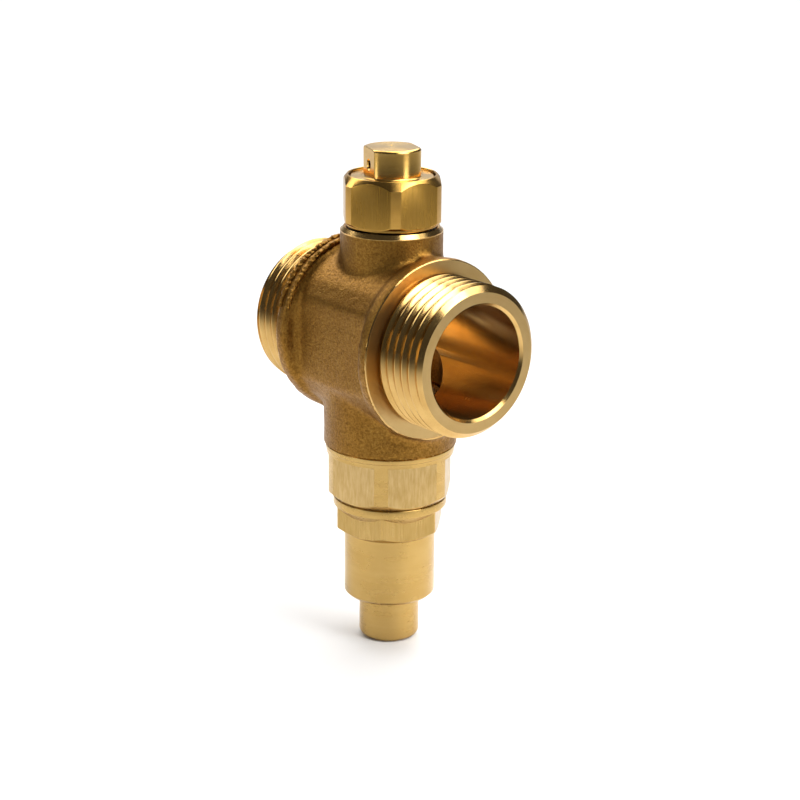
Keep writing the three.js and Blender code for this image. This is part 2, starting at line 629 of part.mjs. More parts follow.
function cartridgeBody() {
  const nozzle = NOZZLE_OD / 2;
  const can = CAN_OD / 2;
  const corner = CARTRIDGE_CORNERS / 2;
  const ring = CARTRIDGE_RING_OD / 2;
  const outside = turned([
    [0, 0],
    [nozzle - NOZZLE_ROUND, 0],
    [nozzle - NOZZLE_ROUND * (1 - Math.SQRT1_2), NOZZLE_ROUND * (1 - Math.SQRT1_2)],
    [nozzle, NOZZLE_ROUND],
    [nozzle, canBottom],
    [can - CAN_CHAMFER, canBottom],
    [can, canBottom + CAN_CHAMFER],
    [can, canTop],
    [corner, canTop + CARTRIDGE_FOOT_SLOPE * (corner - can)],
    [corner, hexTop - CARTRIDGE_RING_HEIGHT],
    [ring, hexTop - CARTRIDGE_RING_HEIGHT],
    [ring, hexTop - CARTRIDGE_CHAMFER],
    [ring - CARTRIDGE_CHAMFER, hexTop],
    [cartridgeRelief, hexTop],
    [cartridgeRelief, hexTop + FACE_SEAL_SECTION + 2 * FIT],
    [cartridgeShank, hexTop + FACE_SEAL_SECTION + 2 * FIT],
    [cartridgeShank, ringSealBottom],
    [ringSealGroove, ringSealBottom],
    [ringSealGroove, ringSealTop],
    [cartridgeShank, ringSealTop],
    [cartridgeShank, cartridgeTop - CARTRIDGE_CHAMFER],
    [cartridgeShank - CARTRIDGE_CHAMFER, cartridgeTop],
    [0, cartridgeTop],
  ]);
  const flatsTop = hexTop - CARTRIDGE_RING_HEIGHT;
  const envelope = rod(ring + 1, -1, canTop)
    .add(hexPrism(CARTRIDGE_FLATS, canTop - 0.01, flatsTop, HEX_TURN))
    .add(rod(ring + 1, flatsTop - 0.01, cartridgeTop + 1));
  const passage = turned([
    [0, -1],
    [NOZZLE_BORE / 2, -1],
    [NOZZLE_BORE / 2, canBottom - THROAT_TAPER],
    [seatThroat, canBottom + THROAT_TAPER],
    [seatThroat, lipTop],
    [seatLip, lipTop],
    [seatLip, seatFloor],
    [cartridgeBore, seatFloor],
    [cartridgeBore, guideBottom - FIT],
    [ringGroove, guideBottom - FIT],
    [ringGroove, ringBottom + RING_WIRE + FIT],
    [cartridgeBore, ringBottom + RING_WIRE + FIT],
    [cartridgeBore, cartridgeTop + 1],
    [0, cartridgeTop + 1],
  ]);
  return outside.intersect(envelope).subtract(passage);
}

function drainShutter() {
  const shutter = turned([
    [0, shutterSealBottom - FIT],
    [shutterSpigot, shutterSealBottom - FIT],
    [shutterSpigot, plugBottom],
    [shutterPlug, plugBottom],
    [shutterPlug, shutterFlangeBottom],
    [shutterFlange, shutterFlangeBottom],
    [shutterFlange, shutterTop],
    [0, shutterTop],
  ], SMALL_FACETS);
  return shutter.subtract(
    holeCircle(WATER_HOLES, NOTCH_OD / 2, shutterFlange, shutterFlangeBottom - 1, shutterTop + 1));
}

function drainShutterSeal() {
  return washer(shutterSpigot + FIT, shutterPlug + SHUTTER_SEAL_MARGIN, shutterSealBottom,
    shutterSealBottom + SHUTTER_SEAL_THICKNESS);
}

function waxCapsule() {
  const bore = PISTON_OD / 2 + FIT;
  const boreEnd = capsuleFlangeTop + CAPSULE_BORE_RISE;
  const neckTopHeight = capsuleBottom + CAPSULE_NECK_LENGTH;
  const capsule = turned([
    [bore, capsuleBottom],
    [CAPSULE_NECK_OD / 2, capsuleBottom],
    [CAPSULE_NECK_OD / 2, neckTopHeight],
    [CAPSULE_OD / 2, neckTopHeight + CAPSULE_SHOULDER],
    [CAPSULE_OD / 2, capsuleFlangeBottom],
    [capsuleFlange, capsuleFlangeBottom],
    [capsuleFlange, capsuleFlangeTop],
    [capsuleHead, capsuleFlangeTop],
    [capsuleHead, capsuleFlangeTop + CAPSULE_HEAD_LENGTH],
    [0, capsuleFlangeTop + CAPSULE_HEAD_LENGTH],
    [0, boreEnd],
    [bore, boreEnd],
  ], SMALL_FACETS);
  return capsule.subtract(
    holeCircle(WATER_HOLES, NOTCH_OD / 2, capsuleFlange, capsuleFlangeBottom - 1, capsuleFlangeTop + 1));
}

function waxPiston() {
  return rod(PISTON_OD / 2, shutterTop + FIT, shutterTop + FIT + PISTON_LENGTH, SMALL_FACETS);
}

function capsuleGuide() {
  const rim = ringGroove - FIT;
  const post = SHUTOFF_HUB_OD / 2;
  const hole = (rim - post - GUIDE_RIM_WALL - GUIDE_POST_WALL) / 2;
  const plate = rod(rim, guideBottom, guideTop, SMALL_FACETS);
  const postTop = shutoffDiscBottom - SHUTOFF_HUB_LENGTH - FIT;
  return plate.add(rod(post, guideTop - 0.1, postTop, SMALL_FACETS))
    .subtract(holeCircle(WATER_HOLES, hole, post + GUIDE_POST_WALL + hole, guideBottom - 1, guideTop + 1));
}

function retainingRing() {
  const outer = ringGroove - FIT;
  const ring = washer(outer - RING_RADIAL, outer, ringBottom, ringBottom + RING_WIRE);
  return ring.subtract(box(outer * 2, RING_GAP, RING_WIRE * 4, outer, 0, ringBottom));
}

// ---------------------------------------------------------------- materials
function metal(color, roughness, metalness = 1) {
  return new THREE.MeshStandardMaterial({ color, roughness, metalness });
}

const finishes = {
  forgedBrass: metal(0x8f6c35, 0.55),
  turnedBrass: metal(0xc8a560, 0.32),
  satinBrass: metal(0xa57c3a, 0.36),
  steel: metal(0xb9bcc0, 0.28),
  copper: metal(0xb87448, 0.35),
  rubber: metal(0x17181a, 0.6, 0),
};

// ---------------------------------------------------------------- assembly
const group = new THREE.Group();

function place(name, piece, material) {
  const mesh = piece.getMesh();
  const geometry = new THREE.BufferGeometry();
  geometry.setAttribute('position', new THREE.BufferAttribute(mesh.vertProperties.slice(), 3));
  geometry.setIndex(new THREE.BufferAttribute(mesh.triVerts.slice(), 1));
  geometry.computeVertexNormals();
  const part = new THREE.Mesh(geometry, material);
  part.name = name;
  group.add(part);
}

place('valve_body', valveBody(), finishes.forgedBrass);

place('vent_housing', ventHousing(), finishes.satinBrass);
place('vent_housing_seal', ringSeal(ventShank + FIT + UPPER_SEAL_SECTION / 2, UPPER_SEAL_SECTION,
  neckTop - FIT - UPPER_SEAL_SECTION / 2), finishes.rubber);
place('vent_cap', ventCap(), finishes.turnedBrass);
place('vent_cap_seal', ringSeal(CAP_SPIGOT_OD / 2 + FIT + CAP_SEAL_SECTION / 2, CAP_SEAL_SECTION,
  discBottom - FIT - CAP_SEAL_SECTION / 2), finishes.rubber);
place('vent_poppet', ventPoppet(), finishes.turnedBrass);
place('vent_poppet_seal', ventPoppetSeal(), finishes.rubber);
place('vent_spring', spring(VENT_SPRING_COIL, VENT_SPRING_WIRE, retainerTop + FIT, ventPoppetBottom - FIT,
  VENT_SPRING_TURNS), finishes.steel);
place('vent_spring_retainer', ventRetainer(), finishes.steel);

place('shutoff_housing', shutoffHousing(), finishes.turnedBrass);
place('shutoff_housing_seal', ringSeal(lowerSealInner + FIT + LOWER_SEAL_SECTION / 2, LOWER_SEAL_SECTION,
  collarTop + FIT + LOWER_SEAL_SECTION / 2), finishes.rubber);
place('shutoff_poppet', shutoffPoppet(), finishes.turnedBrass);
place('shutoff_poppet_seal', shutoffPoppetSeal(), finishes.rubber);
place('shutoff_spring', spring(SHUTOFF_SPRING_COIL, SHUTOFF_SPRING_WIRE, shutoffDiscTop + FIT,
  shutoffRetainerBottom - FIT, SHUTOFF_SPRING_TURNS), finishes.steel);
place('shutoff_spring_retainer', shutoffRetainer(), finishes.steel);

place('cartridge_body', cartridgeBody(), finishes.turnedBrass);
place('cartridge_face_seal', ringSeal(cartridgeRelief + FIT + FACE_SEAL_SECTION / 2, FACE_SEAL_SECTION,
  hexTop + FIT + FACE_SEAL_SECTION / 2), finishes.rubber);
place('cartridge_ring_seal', ringSeal(ringSealGroove + FIT + RING_SEAL_SECTION / 2, RING_SEAL_SECTION - 0.02,
  (ringSealBottom + ringSealTop) / 2), finishes.rubber);
place('drain_shutter', drainShutter(), finishes.turnedBrass);
place('drain_shutter_seal', drainShutterSeal(), finishes.rubber);
place('shutter_return_spring', spring(returnSpringCoil, RETURN_SPRING_WIRE, seatFloor + FIT,
  shutterFlangeBottom - FIT, RETURN_SPRING_TURNS), finishes.steel);
place('wax_capsule', waxCapsule(), finishes.copper);
place('wax_piston', waxPiston(), finishes.steel);
place('overtravel_spring', spring(overtravelSpringCoil, OVERTRAVEL_SPRING_WIRE, capsuleFlangeTop + FIT,
  guideBottom - FIT, OVERTRAVEL_SPRING_TURNS), finishes.steel);
place('capsule_guide', capsuleGuide(), finishes.turnedBrass);
place('guide_retaining_ring', retainingRing(), finishes.steel);

export default group;
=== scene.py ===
import math
import bpy
from mathutils import Matrix, Vector


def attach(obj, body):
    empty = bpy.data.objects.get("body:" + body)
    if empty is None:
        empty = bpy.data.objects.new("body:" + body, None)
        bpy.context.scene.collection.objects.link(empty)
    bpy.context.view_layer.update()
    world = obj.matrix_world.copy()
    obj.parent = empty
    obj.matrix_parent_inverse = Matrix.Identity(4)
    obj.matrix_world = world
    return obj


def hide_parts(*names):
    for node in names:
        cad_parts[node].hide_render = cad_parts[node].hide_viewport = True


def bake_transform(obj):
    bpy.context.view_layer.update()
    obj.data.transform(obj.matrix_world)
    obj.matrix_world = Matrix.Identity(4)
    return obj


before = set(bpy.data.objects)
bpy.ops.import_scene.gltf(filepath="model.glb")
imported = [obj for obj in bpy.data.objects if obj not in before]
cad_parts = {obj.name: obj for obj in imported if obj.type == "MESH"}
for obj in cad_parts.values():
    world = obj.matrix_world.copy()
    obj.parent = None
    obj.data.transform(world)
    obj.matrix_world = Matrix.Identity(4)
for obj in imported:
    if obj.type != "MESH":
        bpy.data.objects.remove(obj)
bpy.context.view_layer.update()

scene = bpy.context.scene
MM = 0.001

# ---------------------------------------------------------------- studio
# A pale table under soft boxes. The camera stands a little above the valve and looks at the
# corner between its near port and its side, through a long lens.
PORT_AXIS = 70.5
camera_aim = Vector((0, 0, (PORT_AXIS - 15.04) * MM))
view_azimuth = math.radians(50.46)
view_elevation = math.radians(17.33)
view_roll = math.radians(0.49)
view_distance = 464.6 * MM
view_aside = 2.1 * MM
view_right = Vector((math.cos(view_azimuth), math.sin(view_azimuth), 0))
view_ahead = Vector((-math.sin(view_azimuth), math.cos(view_azimuth), 0))
view_back = Vector((0, 0, math.sin(view_elevation))) - view_ahead * math.cos(view_elevation)
view_up = view_back.cross(view_right)

bpy.ops.object.select_all(action="DESELECT")
bpy.ops.object.camera_add()
camera = bpy.context.object
camera.name = "studio_camera"
camera.data.sensor_width = 36
camera.data.lens = 94.5
camera.data.clip_start = 0.01
camera_turn = Matrix((view_right, view_up, view_back)).transposed() @ Matrix.Rotation(view_roll, 3, "Z")
camera_place = camera_aim + view_right * view_aside + view_back * view_distance
camera.matrix_world = Matrix.Translation(camera_place) @ camera_turn.to_4x4()
scene.camera = camera


def softbox(name, aside, ahead, height, width, tall, power, colour=(1, 1, 1), aim=camera_aim):
    """An area light placed from the camera's line, aimed at the valve's middle; lengths in metres."""
    place = view_right * aside + view_ahead * ahead + Vector((0, 0, height))
    bpy.ops.object.light_add(type="AREA", location=place)
    lamp = bpy.context.object
    lamp.name = name
    lamp.data.shape = "RECTANGLE"
    lamp.data.size = width
    lamp.data.size_y = tall
    lamp.data.energy = power
    lamp.data.color = colour
    lamp.visible_camera = False
    lamp.rotation_euler = (place - aim).to_track_quat("Z", "Y").to_euler()
    return lamp


top = softbox("soft_top", 0.16, 0.07, 0.46, 0.40, 0.40, 0.62)
top.data.spread = math.radians(100)
softbox("soft_back", 0.0, 0.90, 0.80, 1.0, 1.0, 11, aim=view_ahead * 0.85)
softbox("soft_wall", 0.0, 1.45, 0.55, 1.8, 0.9, 3)
softbox("strip_left", -0.36, -0.17, 0.17, 0.09, 0.20, 0.18)
softbox("strip_right", 0.33, -0.22, 0.17, 0.12, 0.20, 0.26)
softbox("soft_left", -0.34, 0.25, 0.43, 0.30, 0.25, 0.8)
key = softbox("soft_key", 0.30, -0.22, 0.42, 0.30, 0.30, 0.28)
key.data.spread = math.radians(60)

world = bpy.data.worlds.new("studio_room")
world.use_nodes = True
world.node_tree.nodes["Background"].inputs["Color"].default_value = (0.42, 0.40, 0.38, 1)
world.node_tree.nodes["Background"].inputs["Strength"].default_value = 0.18
scene.world = world
scene.view_settings.view_transform = "Standard"

bpy.ops.object.select_all(action="DESELECT")
bpy.ops.mesh.primitive_plane_add(size=6)
table = bpy.context.object
table.name = "table_top"
paper = bpy.data.materials.new("white_paper")
paper.use_nodes = True
paper.node_tree.nodes["Principled BSDF"].inputs["Base Color"].default_value = (0.93, 0.93, 0.93, 1)
paper.node_tree.nodes["Principled BSDF"].inputs["Roughness"].default_value = 0.7
table.data.materials.append(paper)

# ---------------------------------------------------------------- valve body
# A hot brass forging: a short barrel with two flats, flanges and necks, shot-blasted all over.
# The ports, their threads, the bores and the neck's top are then turned, and show bright metal.


def pick(piece):
    """Makes one piece the only selected and active one."""
    bpy.ops.object.select_all(action="DESELECT")
    piece.select_set(True)
    bpy.context.view_layer.objects.active = piece


def turn(name, rings, facets=96, hollow=False):
    """Turns a bar about Z, ring by ring, from (radius, height) pairs in millimetres."""
    bpy.ops.object.select_all(action="DESELECT")
    radius, height = rings[0]
    fill = "NOTHING" if hollow else "NGON"
    bpy.ops.mesh.primitive_circle_add(vertices=facets, radius=radius * MM, fill_type=fill,
                                      location=(0, 0, height * MM))
    piece = bpy.context.object
    piece.name = name
    bpy.ops.object.transform_apply(location=True, rotation=False, scale=False)
    bpy.ops.object.mode_set(mode="EDIT")
    bpy.ops.mesh.select_all(action="SELECT")
    path = rings + rings[:1] if hollow else rings
    for (r_from, z_from), (r_to, z_to) in zip(path, path[1:]):
        if hollow:
            bpy.ops.mesh.extrude_edges_move()
        else:
            bpy.ops.mesh.extrude_region_move()
        bpy.ops.transform.resize(value=(r_to / r_from, r_to / r_from, 1), center_override=(0, 0, 0))
        bpy.ops.transform.translate(value=(0, 0, (z_to - z_from) * MM))
    bpy.ops.mesh.select_all(action="SELECT")
    bpy.ops.mesh.remove_doubles(threshold=1e-6)
    bpy.ops.mesh.normals_make_consistent(inside=False)
    bpy.ops.object.mode_set(mode="OBJECT")
    return piece


def lay_along_run(piece, side=1):
    """Lays a piece turned about Z along the run, its top towards the right (1) or left (-1) port."""
    pick(piece)
    piece.rotation_euler = (0, side * math.pi / 2, 0)
    piece.location = (0, 0, PORT_AXIS * MM)
    bpy.ops.object.transform_apply(location=True, rotation=True, scale=False)
    return piece


def use(piece, kind, **settings):
    """Adds one modifier with its settings and applies it."""
    pick(piece)
    modifier = piece.modifiers.new(kind.lower(), kind)
    for key, value in settings.items():
        setattr(modifier, key, value)
    bpy.ops.object.modifier_apply(modifier=modifier.name)


def machine(piece, tool, operation="DIFFERENCE"):
    """Cuts, joins or trims a piece with a tool, which is then thrown away."""
    use(piece, "BOOLEAN", operation=operation, solver="MANIFOLD", object=tool)
    bpy.data.objects.remove(tool)


def arc(centre_r, centre_z, radius, start, end, steps=6):
    """Ring list for a rounded corner of a turned profile; angles in degrees from the radial direction."""
    rings = []
    for step in range(steps + 1):
        angle = math.radians(start + (end - start) * step / steps)
        rings.append((centre_r + radius * math.cos(angle), centre_z + radius * math.sin(angle)))
    return rings


FLANGE_FACE = 15.75
FLANGE_RADIUS = 19.85
FLANGE_BACK = 12.55
PORT_FACE = 28.75
BARREL_RADIUS = 18.8
BARREL_FLAT = 16.2
FLAT_CHAMFER = 18.5
FLAT_CHAMFER_TILT = 33
NECK_RADIUS = 11.1
LOWER_NECK_RADIUS = 14.75
NECK_TOP = 95.0
NECK_BOTTOM = 46.3
TRIM = 2.0

body = lay_along_run(turn("valve_body_forged", [(BARREL_RADIUS, -13), (BARREL_RADIUS, 13)], 128))
pick(body)
bpy.ops.object.mode_set(mode="EDIT")
for side in (1, -1):
    for tilt, depth in ((0, BARREL_FLAT), (FLAT_CHAMFER_TILT, FLAT_CHAMFER),
                        (-FLAT_CHAMFER_TILT, FLAT_CHAMFER)):
        across = Vector((0, side * math.cos(math.radians(tilt)), math.sin(math.radians(tilt))))
        plane = Vector((0, 0, PORT_AXIS * MM)) + across * depth * MM
        bpy.ops.mesh.select_all(action="SELECT")
        bpy.ops.mesh.bisect(plane_co=plane, plane_no=across, use_fill=True, clear_outer=True,
                            threshold=1e-7)
bpy.ops.object.mode_set(mode="OBJECT")
for side in (1, -1):
    flange = turn("flange", [(FLANGE_RADIUS, FLANGE_BACK), (FLANGE_RADIUS, FLANGE_FACE + 0.8)], 128)
    machine(body, lay_along_run(flange, side), "UNION")
upper_neck = turn("upper_neck", [(NECK_RADIUS + 0.1, PORT_AXIS), (NECK_RADIUS + 0.1, NECK_TOP + TRIM)], 96)
machine(body, upper_neck, "UNION")
lower_neck = turn("lower_neck", [(LOWER_NECK_RADIUS, NECK_BOTTOM - TRIM), (LOWER_NECK_RADIUS, PORT_AXIS)],
                  96)
machine(body, lower_neck, "UNION")

# The die's fillets: the joined bars are skinned evenly, then relaxed until the corners flow.
use(body, "REMESH", mode="VOXEL", voxel_size=0.72 * MM)
use(body, "SMOOTH", factor=0.6, iterations=6)
use(body, "SUBSURF", levels=1, render_levels=1)


def unevenness(name, size):
    """A procedural cloud of lumps of that size, for a displacement."""
    texture = bpy.data.textures.new(name, "CLOUDS")
    texture.noise_scale = size * MM
    texture.noise_depth = 2
    return texture


use(body, "DISPLACE", texture=unevenness("forging_waves", 5), texture_coords="LOCAL",
    strength=0.16 * MM, mid_level=0.5)
use(body, "DISPLACE", texture=unevenness("scale_pits", 0.9), texture_coords="LOCAL",
    strength=0.07 * MM, mid_level=0.5)

# The flash was trimmed roughly off the left flange, and left two torn ridges over its rim.
for along, lift in ((-15.1, 0.45), (-12.7, 0.45)):
    bpy.ops.object.select_all(action="DESELECT")
    bpy.ops.mesh.primitive_circle_add(vertices=10, radius=0.6 * MM, fill_type="NGON",
                                      rotation=(math.pi / 2, 0, 0),
                                      location=(along * MM, 0, (19.4 + lift) * MM))
    ridge = bpy.context.object
    bpy.ops.object.transform_apply(location=True, rotation=True, scale=False)
    bpy.ops.object.mode_set(mode="EDIT")
    bpy.ops.mesh.select_all(action="SELECT")
    bpy.ops.mesh.spin(steps=100, angle=math.radians(-110), axis=(1, 0, 0), center=(along * MM, 0, 0))
    bpy.ops.mesh.select_all(action="SELECT")
    bpy.ops.mesh.remove_doubles(threshold=1e-6)
    bpy.ops.mesh.normals_make_consistent(inside=False)
    bpy.ops.object.mode_set(mode="OBJECT")
    ridge.rotation_euler = (math.radians(-38), 0, 0)
    ridge.location = (0, 0, PORT_AXIS * MM)
    bpy.ops.object.transform_apply(location=True, rotation=True, scale=False)
    use(ridge, "SUBSURF", levels=1, render_levels=1, subdivision_type="SIMPLE")
    use(ridge, "DISPLACE", texture=unevenness("torn_flash", 0.8), texture_coords="LOCAL",
        strength=0.8 * MM, mid_level=0.5)
    machine(body, ridge, "UNION")

# Facing cuts: flange faces with a small broken edge, and both ends of the upright.
FACE_EDGE = 0.2
face = FLANGE_RADIUS - 0.35
facing = [(face, -FLANGE_FACE), (face + FACE_EDGE, -FLANGE_FACE + FACE_EDGE),
          (30, -FLANGE_FACE + FACE_EDGE), (30, FLANGE_FACE - FACE_EDGE),
          (face + FACE_EDGE, FLANGE_FACE - FACE_EDGE), (face, FLANGE_FACE)]
machine(body, lay_along_run(turn("facing", facing, 160)), "INTERSECT")
ends = [(LOWER_NECK_RADIUS - 0.3, NECK_BOTTOM), (LOWER_NECK_RADIUS - 0.15, NECK_BOTTOM + 0.15),
        (30, NECK_BOTTOM + 0.15), (30, NECK_TOP - 0.9), (NECK_RADIUS - 0.1, NECK_TOP - 0.9),
        (NECK_RADIUS - 0.7, NECK_TOP)]
machine(body, turn("ends", ends, 128), "INTERSECT")

# G 1 pipe thread: one turn of the 55 degree form, screwed round, then trimmed to the port.
PITCH = 2.309
CREST = 16.62
ROOT = 15.2
THREAD_TURNS = 9
thread_form = [(ROOT, 0), (ROOT, 0.2), (CREST - 0.12, 0.88), (CREST, 1.02), (CREST, 1.29),
               (CREST - 0.12, 1.43), (ROOT, 2.11), (ROOT, PITCH)]


def pipe_thread(start):
    """The threaded bar, from start upwards along Z, with flat closed ends."""
    bpy.ops.object.select_all(action="DESELECT")
    bpy.ops.mesh.primitive_plane_add(size=MM, location=(0, 0, 0))
    bar = bpy.context.object
    bar.name = "thread"
    bpy.ops.object.mode_set(mode="EDIT")
    bpy.ops.mesh.select_all(action="SELECT")
    bpy.ops.mesh.merge(type="CENTER")
    bpy.ops.transform.translate(value=(thread_form[0][0] * MM, 0, (start + thread_form[0][1]) * MM))
    for (r_from, z_from), (r_to, z_to) in zip(thread_form, thread_form[1:]):
        bpy.ops.mesh.extrude_vertices_move()
        bpy.ops.transform.translate(value=((r_to - r_from) * MM, 0, (z_to - z_from) * MM))
    bpy.ops.object.mode_set(mode="OBJECT")
    use(bar, "SCREW", axis="Z", angle=2 * math.pi, screw_offset=PITCH * MM, steps=128, render_steps=128,
        iterations=THREAD_TURNS, use_merge_vertices=True, merge_threshold=1e-6)
    bpy.ops.object.mode_set(mode="EDIT")
    for height, direction in ((FLANGE_FACE - 0.5, -1), (PORT_FACE + 0.5, 1)):
        bpy.ops.mesh.select_all(action="SELECT")
        bpy.ops.mesh.bisect(plane_co=(0, 0, height * MM), plane_no=(0, 0, direction), clear_outer=True,
                            threshold=1e-7)
    bpy.ops.mesh.select_all(action="SELECT")
    bpy.ops.mesh.remove_doubles(threshold=1e-6)
    bpy.ops.mesh.fill_holes(sides=0)
    bpy.ops.mesh.normals_make_consistent(inside=False)
    bpy.ops.object.mode_set(mode="OBJECT")
    return bar


RUN_BORE = 12.3
port_trim = [(ROOT + 0.1, FLANGE_FACE - 0.4), (ROOT + 0.1, FLANGE_FACE + 0.05),
             (CREST + 0.1, FLANGE_FACE + 0.6),
             (CREST + 0.1, PORT_FACE - 1.45), (15.3, PORT_FACE - 0.12), (15.15, PORT_FACE)]
for side in (1, -1):
    port = pipe_thread(FLANGE_FACE - 4.04)
    machine(port, turn("port_trim", port_trim, 160), "INTERSECT")
    machine(body, lay_along_run(port, side), "UNION")
bore = [(RUN_BORE + 1.6, -PORT_FACE - 1), (RUN_BORE, -PORT_FACE + 0.6), (RUN_BORE, PORT_FACE - 0.6),
        (RUN_BORE + 1.6, PORT_FACE + 1)]
machine(body, lay_along_run(turn("run_bore", bore, 160)))
lower_pocket = [(13.3, NECK_BOTTOM - 1), (13.3, 48.1), (12.2, 48.1), (12.2, 57.9), (11.5, 57.9),
                (11.5, PORT_AXIS)]
machine(body, turn("lower_pocket", lower_pocket, 128))
upper_pocket = [(8.5, PORT_AXIS), (8.5, 93.3), (9.9, 93.3), (9.9, NECK_TOP + 1)]
machine(body, turn("upper_pocket", upper_pocket, 128))


def new_group(name, inputs, outputs):
    """A shader node group with named sockets, and its two end nodes."""
    group = bpy.data.node_groups.new(name, "ShaderNodeTree")
    for label, kind, value in inputs:
        socket = group.interface.new_socket(name=label, in_out="INPUT", socket_type=kind)
        if value is not None:
            socket.default_value = value
    for label, kind in outputs:
        group.interface.new_socket(name=label, in_out="OUTPUT", socket_type=kind)
    return group, group.nodes.new("NodeGroupInput"), group.nodes.new("NodeGroupOutput")


def noise(nodes, scale, detail=2.0, rough=0.5):
    node = nodes.new("ShaderNodeTexNoise")
    node.inputs["Scale"].default_value = scale
    node.inputs["Detail"].default_value = detail
    node.inputs["Roughness"].default_value = rough
    return node


def sums(nodes, operation, first=None, second=None):
    """A Math node; a number fills a socket, and None leaves it to be linked."""
    node = nodes.new("ShaderNodeMath")
    node.operation = operation
    for index, value in enumerate((first, second)):
        if value is not None:
            node.inputs[index].default_value = value
    return node


# Blasted skin: fine pits with a few deeper ones, and the shade that gathers in them.
blasted_skin, skin_in, skin_out = new_group(
    "blasted_skin",
    [("Place", "NodeSocketVector", None), ("Grain", "NodeSocketFloat", 2600.0)],
    [("Height", "NodeSocketFloat"), ("Shade", "NodeSocketFloat")])
nodes, links = blasted_skin.nodes, blasted_skin.links
fine = noise(nodes, 1, 3.0, 0.6)
links.new(skin_in.outputs["Place"], fine.inputs["Vector"])
links.new(skin_in.outputs["Grain"], fine.inputs["Scale"])
coarse_scale = sums(nodes, "MULTIPLY", None, 0.55)
links.new(skin_in.outputs["Grain"], coarse_scale.inputs[0])
coarse = noise(nodes, 1, 2.0, 0.5)
links.new(skin_in.outputs["Place"], coarse.inputs["Vector"])
links.new(coarse_scale.outputs[0], coarse.inputs["Scale"])
skin_height = nodes.new("ShaderNodeMix")
skin_height.inputs["Factor"].default_value = 0.35
links.new(fine.outputs["Fac"], skin_height.inputs["A"])
links.new(coarse.outputs["Fac"], skin_height.inputs["B"])
links.new(skin_height.outputs["Result"], skin_out.inputs["Height"])
skin_shade = nodes.new("ShaderNodeMapRange")
skin_shade.inputs["From Min"].default_value = 0.35
skin_shade.inputs["From Max"].default_value = 0.65
links.new(skin_height.outputs["Result"], skin_shade.inputs["Value"])
links.new(skin_shade.outputs["Result"], skin_out.inputs["Shade"])

# Tool marks: rings about the Z of the coordinates given, the same all the way round.
tool_marks, marks_in, marks_out = new_group(
    "tool_marks",
    [("Place", "NodeSocketVector", None), ("Lines", "NodeSocketFloat", 9000.0)],
    [("Height", "NodeSocketFloat"), ("Shade", "NodeSocketFloat")])
nodes, links = tool_marks.nodes, tool_marks.links
split = nodes.new("ShaderNodeSeparateXYZ")
links.new(marks_in.outputs["Place"], split.inputs["Vector"])
flat_place = nodes.new("ShaderNodeCombineXYZ")
links.new(split.outputs["X"], flat_place.inputs["X"])
links.new(split.outputs["Y"], flat_place.inputs["Y"])
reach = nodes.new("ShaderNodeVectorMath")
reach.operation = "LENGTH"
links.new(flat_place.outputs["Vector"], reach.inputs[0])
section = nodes.new("ShaderNodeCombineXYZ")
links.new(reach.outputs["Value"], section.inputs["X"])
links.new(split.outputs["Z"], section.inputs["Y"])
lines = noise(nodes, 1, 2.0, 0.7)
links.new(section.outputs["Vector"], lines.inputs["Vector"])
links.new(marks_in.outputs["Lines"], lines.inputs["Scale"])
links.new(lines.outputs["Fac"], marks_out.inputs["Height"])
bands = noise(nodes, 700, 3.0, 0.6)
links.new(section.outputs["Vector"], bands.inputs["Vector"])
links.new(bands.outputs["Fac"], marks_out.inputs["Shade"])

# Handling: slow smudges of tarnish and grease, which change colour and gloss a little.
handling, hand_in, hand_out = new_group(
    "handling", [("Place", "NodeSocketVector", None), ("Size", "NodeSocketFloat", 120.0)],
    [("Smudge", "NodeSocketFloat")])
nodes, links = handling.nodes, handling.links
smudge = noise(nodes, 1, 4.0, 0.55)
links.new(hand_in.outputs["Place"], smudge.inputs["Vector"])
links.new(hand_in.outputs["Size"], smudge.inputs["Scale"])
smudge_range = nodes.new("ShaderNodeMapRange")
smudge_range.inputs["From Min"].default_value = 0.3
smudge_range.inputs["From Max"].default_value = 0.7
links.new(smudge.outputs["Fac"], smudge_range.inputs["Value"])
links.new(smudge_range.outputs["Result"], hand_out.inputs["Smudge"])


def finish_material(name, metallic=1.0, specular=0.5):
    """An empty finish: its nodes, links, shader and the object's coordinates."""
    material = bpy.data.materials.new(name)
    material.use_nodes = True
    nodes, links = material.node_tree.nodes, material.node_tree.links
    shader = nodes["Principled BSDF"]
    shader.inputs["Metallic"].default_value = metallic
    shader.inputs["Specular IOR Level"].default_value = specular
    place = nodes.new("ShaderNodeTexCoord").outputs["Object"]
    return material, nodes, links, shader, place


def between(nodes, links, factor, low, high):
    """A colour between two, by a mask."""
    mix = nodes.new("ShaderNodeMix")
    mix.data_type = "RGBA"
    mix.inputs["A"].default_value = (*low, 1)
    mix.inputs["B"].default_value = (*high, 1)
    links.new(factor, mix.inputs["Factor"])
    return mix.outputs["Result"]


def graded(nodes, links, factor, low, high):
    """A number between two, by a mask."""
    node = nodes.new("ShaderNodeMapRange")
    node.inputs["To Min"].default_value = low
    node.inputs["To Max"].default_value = high
    links.new(factor, node.inputs["Value"])
    return node.outputs["Result"]


def bump(nodes, links, height, distance, strength=1.0):
    node = nodes.new("ShaderNodeBump")
    node.inputs["Distance"].default_value = distance * MM
    node.inputs["Strength"].default_value = strength
    links.new(height, node.inputs["Height"])
    return node.outputs["Normal"]


